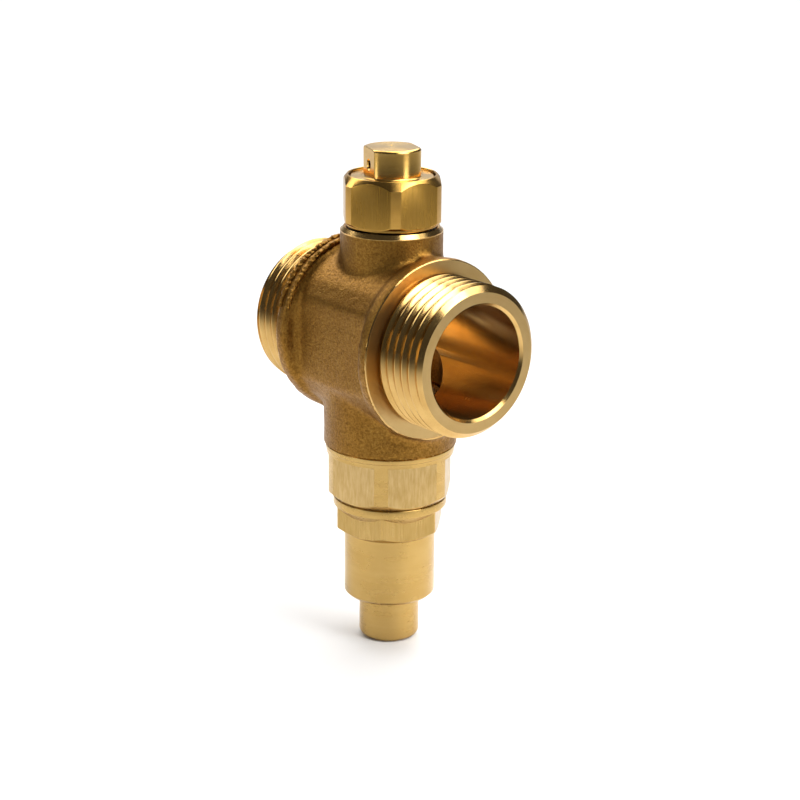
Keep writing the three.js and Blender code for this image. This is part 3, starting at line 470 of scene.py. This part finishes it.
forged_brass, nodes, links, shader, place = finish_material("forged_brass")
skin = nodes.new("ShaderNodeGroup")
skin.node_tree = blasted_skin
links.new(place, skin.inputs["Place"])
smudges = nodes.new("ShaderNodeGroup")
smudges.node_tree = handling
links.new(place, smudges.inputs["Place"])
pits = between(nodes, links, skin.outputs["Shade"], (0.20, 0.095, 0.015), (0.39, 0.205, 0.042))
tarnish = nodes.new("ShaderNodeMix")
tarnish.data_type = "RGBA"
tarnish.blend_type = "MULTIPLY"
tarnish.inputs["B"].default_value = (0.88, 0.83, 0.76, 1)
links.new(smudges.outputs["Smudge"], tarnish.inputs["Factor"])
links.new(pits, tarnish.inputs["A"])
links.new(tarnish.outputs["Result"], shader.inputs["Base Color"])
links.new(graded(nodes, links, skin.outputs["Shade"], 0.54, 0.36), shader.inputs["Roughness"])
links.new(bump(nodes, links, skin.outputs["Height"], 0.16), shader.inputs["Normal"])


def turned_finish(name, dark, light, rough_low, rough_high, along_run=False, depth=0.010, brushed=0.5,
                  line_count=9000.0):
    """A turned finish: rings of tool marks about the upright or the run, smudges, two close colours."""
    material, nodes, links, shader, place = finish_material(name)
    if along_run:
        mapping = nodes.new("ShaderNodeMapping")
        mapping.vector_type = "TEXTURE"
        mapping.inputs["Location"].default_value = (0, 0, PORT_AXIS * MM)
        mapping.inputs["Rotation"].default_value = (0, math.pi / 2, 0)
        links.new(place, mapping.inputs["Vector"])
        place = mapping.outputs["Vector"]
    marks = nodes.new("ShaderNodeGroup")
    marks.node_tree = tool_marks
    marks.inputs["Lines"].default_value = line_count
    smudges = nodes.new("ShaderNodeGroup")
    smudges.node_tree = handling
    for group in (marks, smudges):
        links.new(place, group.inputs["Place"])
    mask = sums(nodes, "MULTIPLY_ADD", None, 0.5)
    links.new(marks.outputs["Shade"], mask.inputs[0])
    half = sums(nodes, "MULTIPLY", None, 0.5)
    links.new(smudges.outputs["Smudge"], half.inputs[0])
    links.new(half.outputs[0], mask.inputs[2])
    links.new(between(nodes, links, mask.outputs[0], dark, light), shader.inputs["Base Color"])
    links.new(graded(nodes, links, mask.outputs[0], rough_high, rough_low), shader.inputs["Roughness"])
    links.new(bump(nodes, links, marks.outputs["Height"], depth), shader.inputs["Normal"])
    shader.inputs["Anisotropic"].default_value = brushed
    shader.inputs["Anisotropic Rotation"].default_value = 0.25
    if along_run:
        tangent = nodes.new("ShaderNodeTangent")
        tangent.direction_type = "RADIAL"
        tangent.axis = "X"
        links.new(tangent.outputs["Tangent"], shader.inputs["Tangent"])
    return material


port_brass = turned_finish("port_brass", (0.46, 0.265, 0.07), (0.76, 0.51, 0.20), 0.15, 0.24, along_run=True,
                           brushed=0.7)
bore_brass = turned_finish("bore_brass", (0.46, 0.25, 0.065), (0.66, 0.40, 0.13), 0.20, 0.30, along_run=True)
face_brass = turned_finish("face_brass", (0.43, 0.28, 0.10), (0.54, 0.37, 0.16), 0.26, 0.36, along_run=True,
                           brushed=0.0)

body.data.materials.clear()
body.data.materials.append(forged_brass)
body.data.materials.append(port_brass)
body.data.materials.append(bore_brass)
body.data.materials.append(face_brass)


def is_turned(x, y, z):
    """Whether a place on the body, in millimetres, was cut by a tool."""
    from_run = math.hypot(y, z - PORT_AXIS)
    from_upright = math.hypot(x, y)
    at_port = abs(x) > FLANGE_FACE - FACE_EDGE - 0.02 or from_run < RUN_BORE + 0.3
    at_neck = z > NECK_TOP - 1.02 or z < NECK_BOTTOM + 0.16
    in_pocket = from_upright < 10.2 and z > PORT_AXIS + 10 or from_upright < 13.5 and z < PORT_AXIS - 10
    return at_port or at_neck or in_pocket


for polygon in body.data.polygons:
    x, y, z = polygon.center / MM
    in_bore = math.hypot(y, z - PORT_AXIS) < RUN_BORE + 0.05
    if abs(polygon.normal.x) > 0.95 and abs(x) > FLANGE_FACE - 0.02:
        polygon.material_index = 3
    elif in_bore:
        polygon.material_index = 2
    elif is_turned(x, y, z):
        polygon.material_index = 1
pick(body)
bpy.ops.object.shade_smooth_by_angle(angle=math.radians(32))
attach(body, "valve")
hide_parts("valve_body")

# ---------------------------------------------------------------- vacuum breaker housing
# A hexagon nut of drawn brass bar with a turned shank that screws into the upper neck.
# Its top is bored out for the cap, and the corners are chamfered in the lathe.


def clean(piece, edge=0.1):
    """Merges what a cut left, then breaks the sharp edges by a small round, as a deburred piece has."""
    pick(piece)
    bpy.ops.object.mode_set(mode="EDIT")
    bpy.ops.mesh.select_all(action="SELECT")
    bpy.ops.mesh.remove_doubles(threshold=4e-6)
    bpy.ops.mesh.dissolve_limited(angle_limit=math.radians(0.4))
    bpy.ops.mesh.normals_make_consistent(inside=False)
    bpy.ops.object.mode_set(mode="OBJECT")
    if edge:
        use(piece, "BEVEL", width=edge * MM, segments=2, limit_method="ANGLE",
            angle_limit=math.radians(40), use_clamp_overlap=False)
    bpy.ops.object.shade_smooth_by_angle(angle=math.radians(14))


def hexagon(flats, bottom, top, corner):
    """A hexagon bar; corner is where one corner points, in degrees from X."""
    bpy.ops.object.select_all(action="DESELECT")
    bpy.ops.mesh.primitive_cylinder_add(vertices=6, radius=flats / math.sqrt(3) * MM,
                                        depth=(top - bottom) * MM,
                                        location=(0, 0, (top + bottom) / 2 * MM),
                                        rotation=(0, 0, math.radians(corner - 30)))
    bpy.ops.object.transform_apply(location=True, rotation=True, scale=True)
    return bpy.context.object


def threads(radius, depth, start, end, pitch=1.5):
    """Ring list of a fine screw thread's crests and roots."""
    rings = []
    for step in range(int((end - start) / pitch)):
        foot = start + step * pitch
        rings += [(radius - depth, foot), (radius, foot + 0.42 * pitch), (radius, foot + 0.58 * pitch)]
    return rings + [(radius - depth, end)]


def holes(count, hole, circle, bottom, top):
    """Drills: a ring of upright round tools."""
    tools = []
    for step in range(count):
        angle = 2 * math.pi * step / count
        drill = turn("drill", [(hole, bottom), (hole, top)], 24)
        drill.location = (circle * math.cos(angle) * MM, circle * math.sin(angle) * MM, 0)
        tools.append(drill)
    return tools


def stand_in_piece(piece, material, body_name, node):
    """Hands a finished piece over to the frame."""
    piece.data.materials.clear()
    piece.data.materials.append(material)
    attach(piece, body_name)
    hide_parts(node)


SHOULDER = 95.3
NUT_FOOT = 95.9
NUT_RIM = 106.3
NUT_FLATS = 20.5
NUT_CORNER = 11.25
NUT_TURN = 25
vent_housing = turn("vent_housing_nut", [(NUT_CORNER - 0.7, NUT_FOOT), (NUT_CORNER, NUT_FOOT + 0.6),
                                         (NUT_CORNER, NUT_RIM - 1.8), (9.75, NUT_RIM)], 144)
machine(vent_housing, hexagon(NUT_FLATS, NUT_FOOT - 1, NUT_RIM + 1, NUT_TURN), "INTERSECT")
shank = [(7.3, 84.6)] + threads(8.2, 0.7, 85.2, 93.2) + [(7.4, SHOULDER), (10.0, SHOULDER),
                                                         (10.0, NUT_FOOT + 0.2)]
machine(vent_housing, turn("shank", shank, 96), "UNION")
passage = [(6.2, 83.6), (6.2, 86.5), (6.8, 86.5), (6.8, 88.6), (6.2, 88.6), (6.2, 100.2), (3.2, 100.2),
           (3.2, 102.3), (5.9, 102.3), (5.9, 103.9), (9.3, 103.9), (9.3, 106.0), (9.5, NUT_RIM + 0.1)]
machine(vent_housing, turn("passage", passage, 128))
clean(vent_housing)

# Drawn and milled flats: faint streaks along the bar.
streaks, streak_in, streak_out = new_group(
    "milled_streaks",
    [("Place", "NodeSocketVector", None), ("Across", "NodeSocketFloat", 2500.0),
     ("Along", "NodeSocketFloat", 160.0)],
    [("Height", "NodeSocketFloat"), ("Shade", "NodeSocketFloat")])
nodes, links = streaks.nodes, streaks.links
stretch = nodes.new("ShaderNodeCombineXYZ")
links.new(streak_in.outputs["Across"], stretch.inputs["X"])
links.new(streak_in.outputs["Across"], stretch.inputs["Y"])
links.new(streak_in.outputs["Along"], stretch.inputs["Z"])
stretched = nodes.new("ShaderNodeVectorMath")
stretched.operation = "MULTIPLY"
links.new(streak_in.outputs["Place"], stretched.inputs[0])
links.new(stretch.outputs["Vector"], stretched.inputs[1])
streak_noise = noise(nodes, 1, 3.0, 0.6)
links.new(stretched.outputs["Vector"], streak_noise.inputs["Vector"])
links.new(streak_noise.outputs["Fac"], streak_out.inputs["Height"])
streak_range = nodes.new("ShaderNodeMapRange")
streak_range.inputs["From Min"].default_value = 0.35
streak_range.inputs["From Max"].default_value = 0.65
links.new(streak_noise.outputs["Fac"], streak_range.inputs["Value"])
links.new(streak_range.outputs["Result"], streak_out.inputs["Shade"])


def flat_finish(name, dark, light, rough_low, rough_high, depth, across=2500.0, along=160.0):
    """The finish of a bar's flats: streaks along the bar, and smudges."""
    material, nodes, links, shader, place = finish_material(name)
    marks = nodes.new("ShaderNodeGroup")
    marks.node_tree = streaks
    marks.inputs["Across"].default_value = across
    marks.inputs["Along"].default_value = along
    smudges = nodes.new("ShaderNodeGroup")
    smudges.node_tree = handling
    for group in (marks, smudges):
        links.new(place, group.inputs["Place"])
    mask = sums(nodes, "MULTIPLY_ADD", None, 0.55)
    links.new(marks.outputs["Shade"], mask.inputs[0])
    half = sums(nodes, "MULTIPLY", None, 0.45)
    links.new(smudges.outputs["Smudge"], half.inputs[0])
    links.new(half.outputs[0], mask.inputs[2])
    links.new(between(nodes, links, mask.outputs[0], dark, light), shader.inputs["Base Color"])
    links.new(graded(nodes, links, mask.outputs[0], rough_high, rough_low), shader.inputs["Roughness"])
    links.new(bump(nodes, links, marks.outputs["Height"], depth), shader.inputs["Normal"])
    return material


def mark_flats(piece, flats, bottom, top):
    """Gives the bar's upright flats the piece's second finish."""
    for polygon in piece.data.polygons:
        normal, centre = polygon.normal, polygon.center / MM
        off = math.hypot(normal.x, normal.y) * flats / 2 - (normal.x * centre.x + normal.y * centre.y)
        if abs(normal.z) < 0.02 and abs(off) < 0.03 and bottom < centre.z < top:
            polygon.material_index = 1


nut_brass = turned_finish("nut_brass", (0.46, 0.25, 0.05), (0.62, 0.36, 0.085), 0.18, 0.27, brushed=0.5)
nut_flats = flat_finish("nut_flats", (0.44, 0.24, 0.042), (0.54, 0.31, 0.065), 0.22, 0.30, 0.0025)
stand_in_piece(vent_housing, nut_brass, "valve", "vent_housing")
vent_housing.data.materials.append(nut_flats)
mark_flats(vent_housing, NUT_FLATS, NUT_FOOT, NUT_RIM)

# ---------------------------------------------------------------- vacuum breaker cap
# A turned brass disc let into the nut, with a stem that has two flats for a spanner. Air comes
# in through a small hole across the stem and down its middle.
DISC_TOP = 105.9
STEM_TOP = 112.1
STEM_RADIUS = 6.4
STEM_FLAT = 5.3
STEM_TURN = 70
vent_cap = turn("vent_cap_stem", [(4.0, 102.6), (4.0, 104.2), (8.9, 104.2), (9.0, 104.3), (9.0, 105.75),
                                  (8.85, DISC_TOP), (STEM_RADIUS + 0.25, DISC_TOP),
                                  (STEM_RADIUS, DISC_TOP + 0.25),
                                  (STEM_RADIUS, STEM_TOP - 0.5), (STEM_RADIUS - 0.15, STEM_TOP - 0.15),
                                  (STEM_RADIUS - 0.5, STEM_TOP)], 128)
for side in (1, -1):
    bpy.ops.object.select_all(action="DESELECT")
    angle = math.radians(STEM_TURN)
    away = side * (STEM_FLAT + 4) * MM
    bpy.ops.mesh.primitive_cube_add(size=1, location=(away * math.cos(angle), away * math.sin(angle),
                                                      (DISC_TOP + 5.02) * MM),
                                    rotation=(0, 0, angle), scale=(8 * MM, 20 * MM, 10 * MM))
    bpy.ops.object.transform_apply(location=True, rotation=True, scale=True)
    machine(vent_cap, bpy.context.object)
clean(vent_cap, 0.08)
cross = turn("cross_hole", [(1.55, -5.51), (1.0, -5.0), (1.0, 5.0), (1.55, 5.51)], 32)
cross.rotation_euler = (0, math.pi / 2, math.radians(STEM_TURN))
cross.location = (0, 0, (DISC_TOP + 2.5) * MM)
machine(vent_cap, cross)
machine(vent_cap, turn("air_bore", [(1.6, 101), (1.6, 109.2), (0.3, 109.9)], 32))
dimple = turn("dimple", [(0.05, STEM_TOP - 0.22), (0.42, STEM_TOP + 0.1)], 20)
dimple.location = (-0.9 * MM, 0.6 * MM, 0)
machine(vent_cap, dimple)
pick(vent_cap)
bpy.ops.object.shade_smooth_by_angle(angle=math.radians(14))
cap_brass = turned_finish("cap_brass", (0.60, 0.34, 0.07), (0.86, 0.58, 0.19), 0.16, 0.26, brushed=0.65)
stand_in_piece(vent_cap, cap_brass, "valve", "vent_cap")

# ---------------------------------------------------------------- shut-off housing
# The brass nut under the body: a flanged collar against the neck, milled flats, a foot chamfer,
# and a threaded shank inside the neck that carries the shut-off valve's seat.
FOOT = 33.9
COLLAR_TOP = 46.0
HOUSING_FLATS = 26
HEX_TURN = 13
housing = turn("shutoff_housing_nut", [(12.6, FOOT), (14.2, FOOT + 1.5), (14.2, COLLAR_TOP - 1.9)], 160)
machine(housing, hexagon(HOUSING_FLATS, FOOT - 1, COLLAR_TOP - 1.99, HEX_TURN), "INTERSECT")
collar = [(12.0, FOOT + 1), (12.0, COLLAR_TOP - 2), (14.2, COLLAR_TOP - 2), (14.2, COLLAR_TOP - 1.1),
          (14.4, COLLAR_TOP - 0.9), (14.5, COLLAR_TOP), (14.3, COLLAR_TOP + 0.22), (11.2, COLLAR_TOP + 0.22),
          (11.2, COLLAR_TOP + 2.1)]
collar += threads(11.9, 0.8, COLLAR_TOP + 2.4, 56.9) + [(11.1, 57.6)]
machine(housing, turn("collar", collar, 160), "UNION")
passage = [(11.0, FOOT - 1), (11.0, 35.6), (9.9, 35.6), (9.9, 43.9), (5.6, 43.9), (5.6, 45.3), (6.0, 45.6),
           (9.9, 45.6), (9.9, 54.6), (10.5, 54.6), (10.5, 56.4), (9.9, 56.4), (9.9, 58.6)]
machine(housing, turn("passage", passage, 128))
clean(housing)
turned_brass = turned_finish("turned_brass", (0.45, 0.277, 0.078), (0.567, 0.378, 0.133), 0.22, 0.32,
                             depth=0.006,
                             brushed=0.6)
milled_brass = flat_finish("milled_brass", (0.41, 0.265, 0.084), (0.55, 0.385, 0.175), 0.26, 0.38, 0.010,
                           across=1900.0, along=330.0)
stand_in_piece(housing, turned_brass, "valve", "shutoff_housing")
housing.data.materials.append(milled_brass)
mark_flats(housing, HOUSING_FLATS, FOOT, COLLAR_TOP)

# ---------------------------------------------------------------- drain cartridge
# The thermostatic cartridge's brass shell, turned from one bar: outlet nozzle, can, a narrow
# hexagon under a round flange, and a plain shank with a ring seal inside the housing.
CARTRIDGE_FLATS = 22
nozzle = arc(5.25, 1.5, 1.5, -90, 0, 8)
cartridge = turn("cartridge_shell", nozzle + [(6.75, 10.1), (6.95, 10.3), (9.4, 10.3), (10.2, 11.1),
                                              (10.2, 25.5),
                                              (10.2, 27)], 160)
hex_blank = turn("hex_blank", [(10.1, 25.4), (12.55, 27.0), (12.55, 32.2)], 160)
machine(hex_blank, hexagon(CARTRIDGE_FLATS, 25, 33, HEX_TURN), "INTERSECT")
machine(cartridge, hex_blank, "UNION")
flange = [(10.9, 29.0), (10.9, 30.1), (12.7, 31.9), (12.7, 33.6), (12.5, 33.78), (9.0, 33.78), (9.0, 35.6),
          (9.6, 35.6), (9.6, 38.2), (7.9, 38.2), (7.9, 40.2), (9.6, 40.2), (9.6, 43.0), (9.0, 43.6)]
machine(cartridge, turn("flange", flange, 160), "UNION")
passage = [(4.6, -1), (4.6, 0.15), (4.3, 0.45), (4.3, 9.8), (3.6, 10.8), (3.6, 13.6), (4.4, 13.6),
           (4.4, 12.9), (6.6, 12.9), (6.6, 39.7), (7.2, 39.7), (7.2, 42.7), (6.6, 42.7), (6.6, 44.6)]
machine(cartridge, turn("passage", passage, 128))
clean(cartridge, 0.09)
cartridge_flats = flat_finish("cartridge_flats", (0.38, 0.24, 0.07), (0.48, 0.32, 0.115), 0.25, 0.34, 0.005)
stand_in_piece(cartridge, turned_brass, "valve", "cartridge_body")
cartridge.data.materials.append(cartridge_flats)
mark_flats(cartridge, CARTRIDGE_FLATS, 25, 32)

# ---------------------------------------------------------------- seals
# Black rubber: five rings of round section with a fine mould line, and three flat washers that
# close the seats.
seal_rubber, nodes, links, shader, place = finish_material("seal_rubber", metallic=0.0, specular=0.4)
dust = noise(nodes, 900, 3.0, 0.6)
links.new(place, dust.inputs["Vector"])
links.new(between(nodes, links, dust.outputs["Fac"], (0.012, 0.012, 0.013), (0.045, 0.044, 0.043)),
          shader.inputs["Base Color"])
links.new(graded(nodes, links, dust.outputs["Fac"], 0.42, 0.68), shader.inputs["Roughness"])
links.new(bump(nodes, links, dust.outputs["Fac"], 0.01), shader.inputs["Normal"])


def ring_seal(node, middle, section, height):
    """A ring seal of round section about the upright; middle is the radius of its section's centre."""
    half = section / 2
    round_part = arc(middle, height, half, 8, 352, 18)
    ring = turn(node + "_ring", round_part + [(middle + half + 0.03, height)], 72, hollow=True)
    bpy.ops.object.shade_smooth_by_angle(angle=math.radians(40))
    stand_in_piece(ring, seal_rubber, "valve", node)


ring_seal("vent_housing_seal", 9.05, 1.06, 94.15)
ring_seal("vent_cap_seal", 4.95, 1.26, 103.25)
ring_seal("shutoff_housing_seal", 12.25, 1.46, 47.05)
ring_seal("cartridge_face_seal", 10.0, 1.36, 34.6)
ring_seal("cartridge_ring_seal", 8.9, 1.34, 39.2)


def washer(node, inner, outer, bottom, top, material, body_name, edge=0.12):
    """A flat washer with broken edges."""
    rings = [(inner + edge, bottom), (outer - edge, bottom), (outer, bottom + edge), (outer, top - edge),
             (outer - edge, top), (inner + edge, top), (inner, top - edge), (inner, bottom + edge)]
    piece = turn(node + "_washer", rings, 72, hollow=True)
    bpy.ops.object.shade_smooth_by_angle(angle=math.radians(30))
    stand_in_piece(piece, material, body_name, node)
    return piece


washer("vent_poppet_seal", 2.2, 5.0, 98.9, 99.9, seal_rubber, "breather")
washer("shutoff_poppet_seal", 2.7, 7.6, 48.6, 49.6, seal_rubber, "valve")
washer("drain_shutter_seal", 1.6, 4.2, 13.9, 14.9, seal_rubber, "shutter")

# ---------------------------------------------------------------- springs
# Four coil springs of bright stainless wire. The three that work between moving pieces are baked
# in place and tied to no body.
spring_steel = turned_finish("spring_steel", (0.42, 0.41, 0.40), (0.66, 0.65, 0.64), 0.18, 0.3, brushed=0.3)


def coil_spring(node, coil, wire, bottom, top, turns):
    """A spring wound about the upright, its wire's ends closed; bottom and top are its faces."""
    bpy.ops.object.select_all(action="DESELECT")
    bpy.ops.mesh.primitive_circle_add(vertices=12, radius=wire / 2 * MM, fill_type="NOTHING",
                                      rotation=(math.pi / 2, 0, 0),
                                      location=(coil * MM, 0, (bottom + wire / 2) * MM))
    spring = bpy.context.object
    spring.name = node + "_wire"
    bpy.ops.object.transform_apply(location=True, rotation=True, scale=False)
    use(spring, "SCREW", axis="Z", angle=2 * math.pi * turns, screw_offset=(top - bottom - wire) * MM,
        steps=int(48 * turns), render_steps=int(48 * turns), iterations=1)
    bpy.ops.object.mode_set(mode="EDIT")
    bpy.ops.mesh.select_all(action="SELECT")
    bpy.ops.mesh.fill_holes(sides=0)
    bpy.ops.mesh.select_all(action="SELECT")
    bpy.ops.mesh.normals_make_consistent(inside=False)
    bpy.ops.object.mode_set(mode="OBJECT")
    bpy.ops.object.shade_smooth_by_angle(angle=math.radians(40))
    spring.data.materials.append(spring_steel)
    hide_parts(node)
    return spring


def works_between(spring):
    """Bakes the spring's placement into its mesh."""
    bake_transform(spring)


works_between(coil_spring("vent_spring", 3.6, 0.7, 88.6, 97.0, 4.5))
works_between(coil_spring("shutter_return_spring", 5.2, 0.7, 13.2, 19.2, 3.5))
works_between(coil_spring("overtravel_spring", 4.7, 0.8, 34.0, 39.7, 3.5))
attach(coil_spring("shutoff_spring", 5.4, 0.8, 51.5, 54.6, 2.5), "valve")

# ---------------------------------------------------------------- plates and poppets
# Small turned pieces inside: the poppets on their stems, the pierced steel plates that carry the
# springs, the guide under the cartridge's retaining ring.
plate_steel = turned_finish("plate_steel", (0.40, 0.40, 0.41), (0.60, 0.60, 0.61), 0.25, 0.38, brushed=0.3)


def pierced(piece, count, hole, circle, bottom, top):
    """Drills a ring of water holes through a piece."""
    for drill in holes(count, hole, circle, bottom, top):
        machine(piece, drill)


poppet = turn("vent_poppet_disc", [(1.2, 87.0), (1.5, 87.3), (1.5, 97.3), (5.1, 97.3), (5.2, 97.4),
                                   (5.2, 98.5),
                                   (5.1, 98.6), (1.9, 98.6), (1.9, 100.4), (1.7, 100.6)], 72)
clean(poppet, 0)
stand_in_piece(poppet, turned_brass, "breather", "vent_poppet")

retainer = turn("vent_retainer_plate", [(1.8, 86.8), (6.5, 86.8), (6.5, 88.3), (1.8, 88.3)], 72, hollow=True)
pierced(retainer, 6, 1.1, 4.1, 86, 89)
clean(retainer, 0.06)
stand_in_piece(retainer, plate_steel, "valve", "vent_spring_retainer")

poppet = turn("shutoff_poppet_disc", [(2.2, 47.6), (2.4, 47.8), (2.4, 49.9), (8.1, 49.9), (8.2, 50.0),
                                      (8.2, 51.1),
                                      (8.1, 51.2), (1.5, 51.2), (1.5, 56.5), (1.3, 56.7)], 72)
clean(poppet, 0)
stand_in_piece(poppet, turned_brass, "valve", "shutoff_poppet")

retainer = turn("shutoff_retainer_plate", [(1.8, 54.9), (10.2, 54.9), (10.2, 56.1), (1.8, 56.1)], 72,
                hollow=True)
pierced(retainer, 6, 2.0, 6.6, 54, 57)
clean(retainer, 0.06)
stand_in_piece(retainer, plate_steel, "valve", "shutoff_spring_retainer")

shutter = turn("drain_shutter_plug", [(1.3, 13.6), (1.3, 15.2), (3.7, 15.2), (3.8, 15.3), (3.8, 19.5),
                                      (6.1, 19.5),
                                      (6.2, 19.6), (6.2, 20.5), (6.1, 20.6)], 72)
pierced(shutter, 6, 1.1, 6.2, 19, 22)
clean(shutter, 0)
stand_in_piece(shutter, turned_brass, "shutter", "drain_shutter")

guide = turn("capsule_guide_plate", [(6.9, 40.0), (6.9, 41.3), (2.4, 41.3), (2.4, 47.1), (2.2, 47.3)], 72)
pierced(guide, 6, 1.2, 4.4, 39, 42)
clean(guide, 0.06)
stand_in_piece(guide, turned_brass, "valve", "capsule_guide")

retaining_ring = turn("retaining_ring_split", [(5.3, 41.6), (6.9, 41.6), (6.9, 42.4), (5.3, 42.4)], 72,
                      hollow=True)
bpy.ops.object.select_all(action="DESELECT")
bpy.ops.mesh.primitive_cube_add(size=1, location=(6.9 * MM, 0, 42 * MM), scale=(13.8 * MM, 3 * MM, 3 * MM))
bpy.ops.object.transform_apply(location=True, rotation=True, scale=True)
machine(retaining_ring, bpy.context.object)
clean(retaining_ring, 0.06)
stand_in_piece(retaining_ring, spring_steel, "valve", "guide_retaining_ring")

# ---------------------------------------------------------------- wax element
# A copper capsule full of wax pushes a steel piston down on the shutter as the water warms.
capsule_copper = turned_finish("capsule_copper", (0.52, 0.20, 0.09), (0.72, 0.34, 0.18), 0.24, 0.36,
                               brushed=0.3)
capsule = turn("wax_capsule_shell", [(1.6, 23.8), (2.4, 23.8), (2.6, 24.0), (2.6, 26.0), (4.4, 26.6),
                                     (4.4, 32.6),
                                     (6.0, 32.6), (6.1, 32.7), (6.1, 33.6), (6.0, 33.7), (3.5, 33.7),
                                     (3.5, 36.9),
                                     (3.1, 37.3), (0.02, 37.3), (0.02, 34.3), (1.6, 34.3)], 72, hollow=True)
pierced(capsule, 6, 1.1, 6.1, 31, 35)
clean(capsule, 0)
stand_in_piece(capsule, capsule_copper, "capsule", "wax_capsule")
piston = turn("wax_piston_rod", [(1.1, 20.9), (1.3, 21.1), (1.3, 31.3), (1.1, 31.5)], 48)
clean(piston, 0)
stand_in_piece(piston, spring_steel, "shutter", "wax_piston")
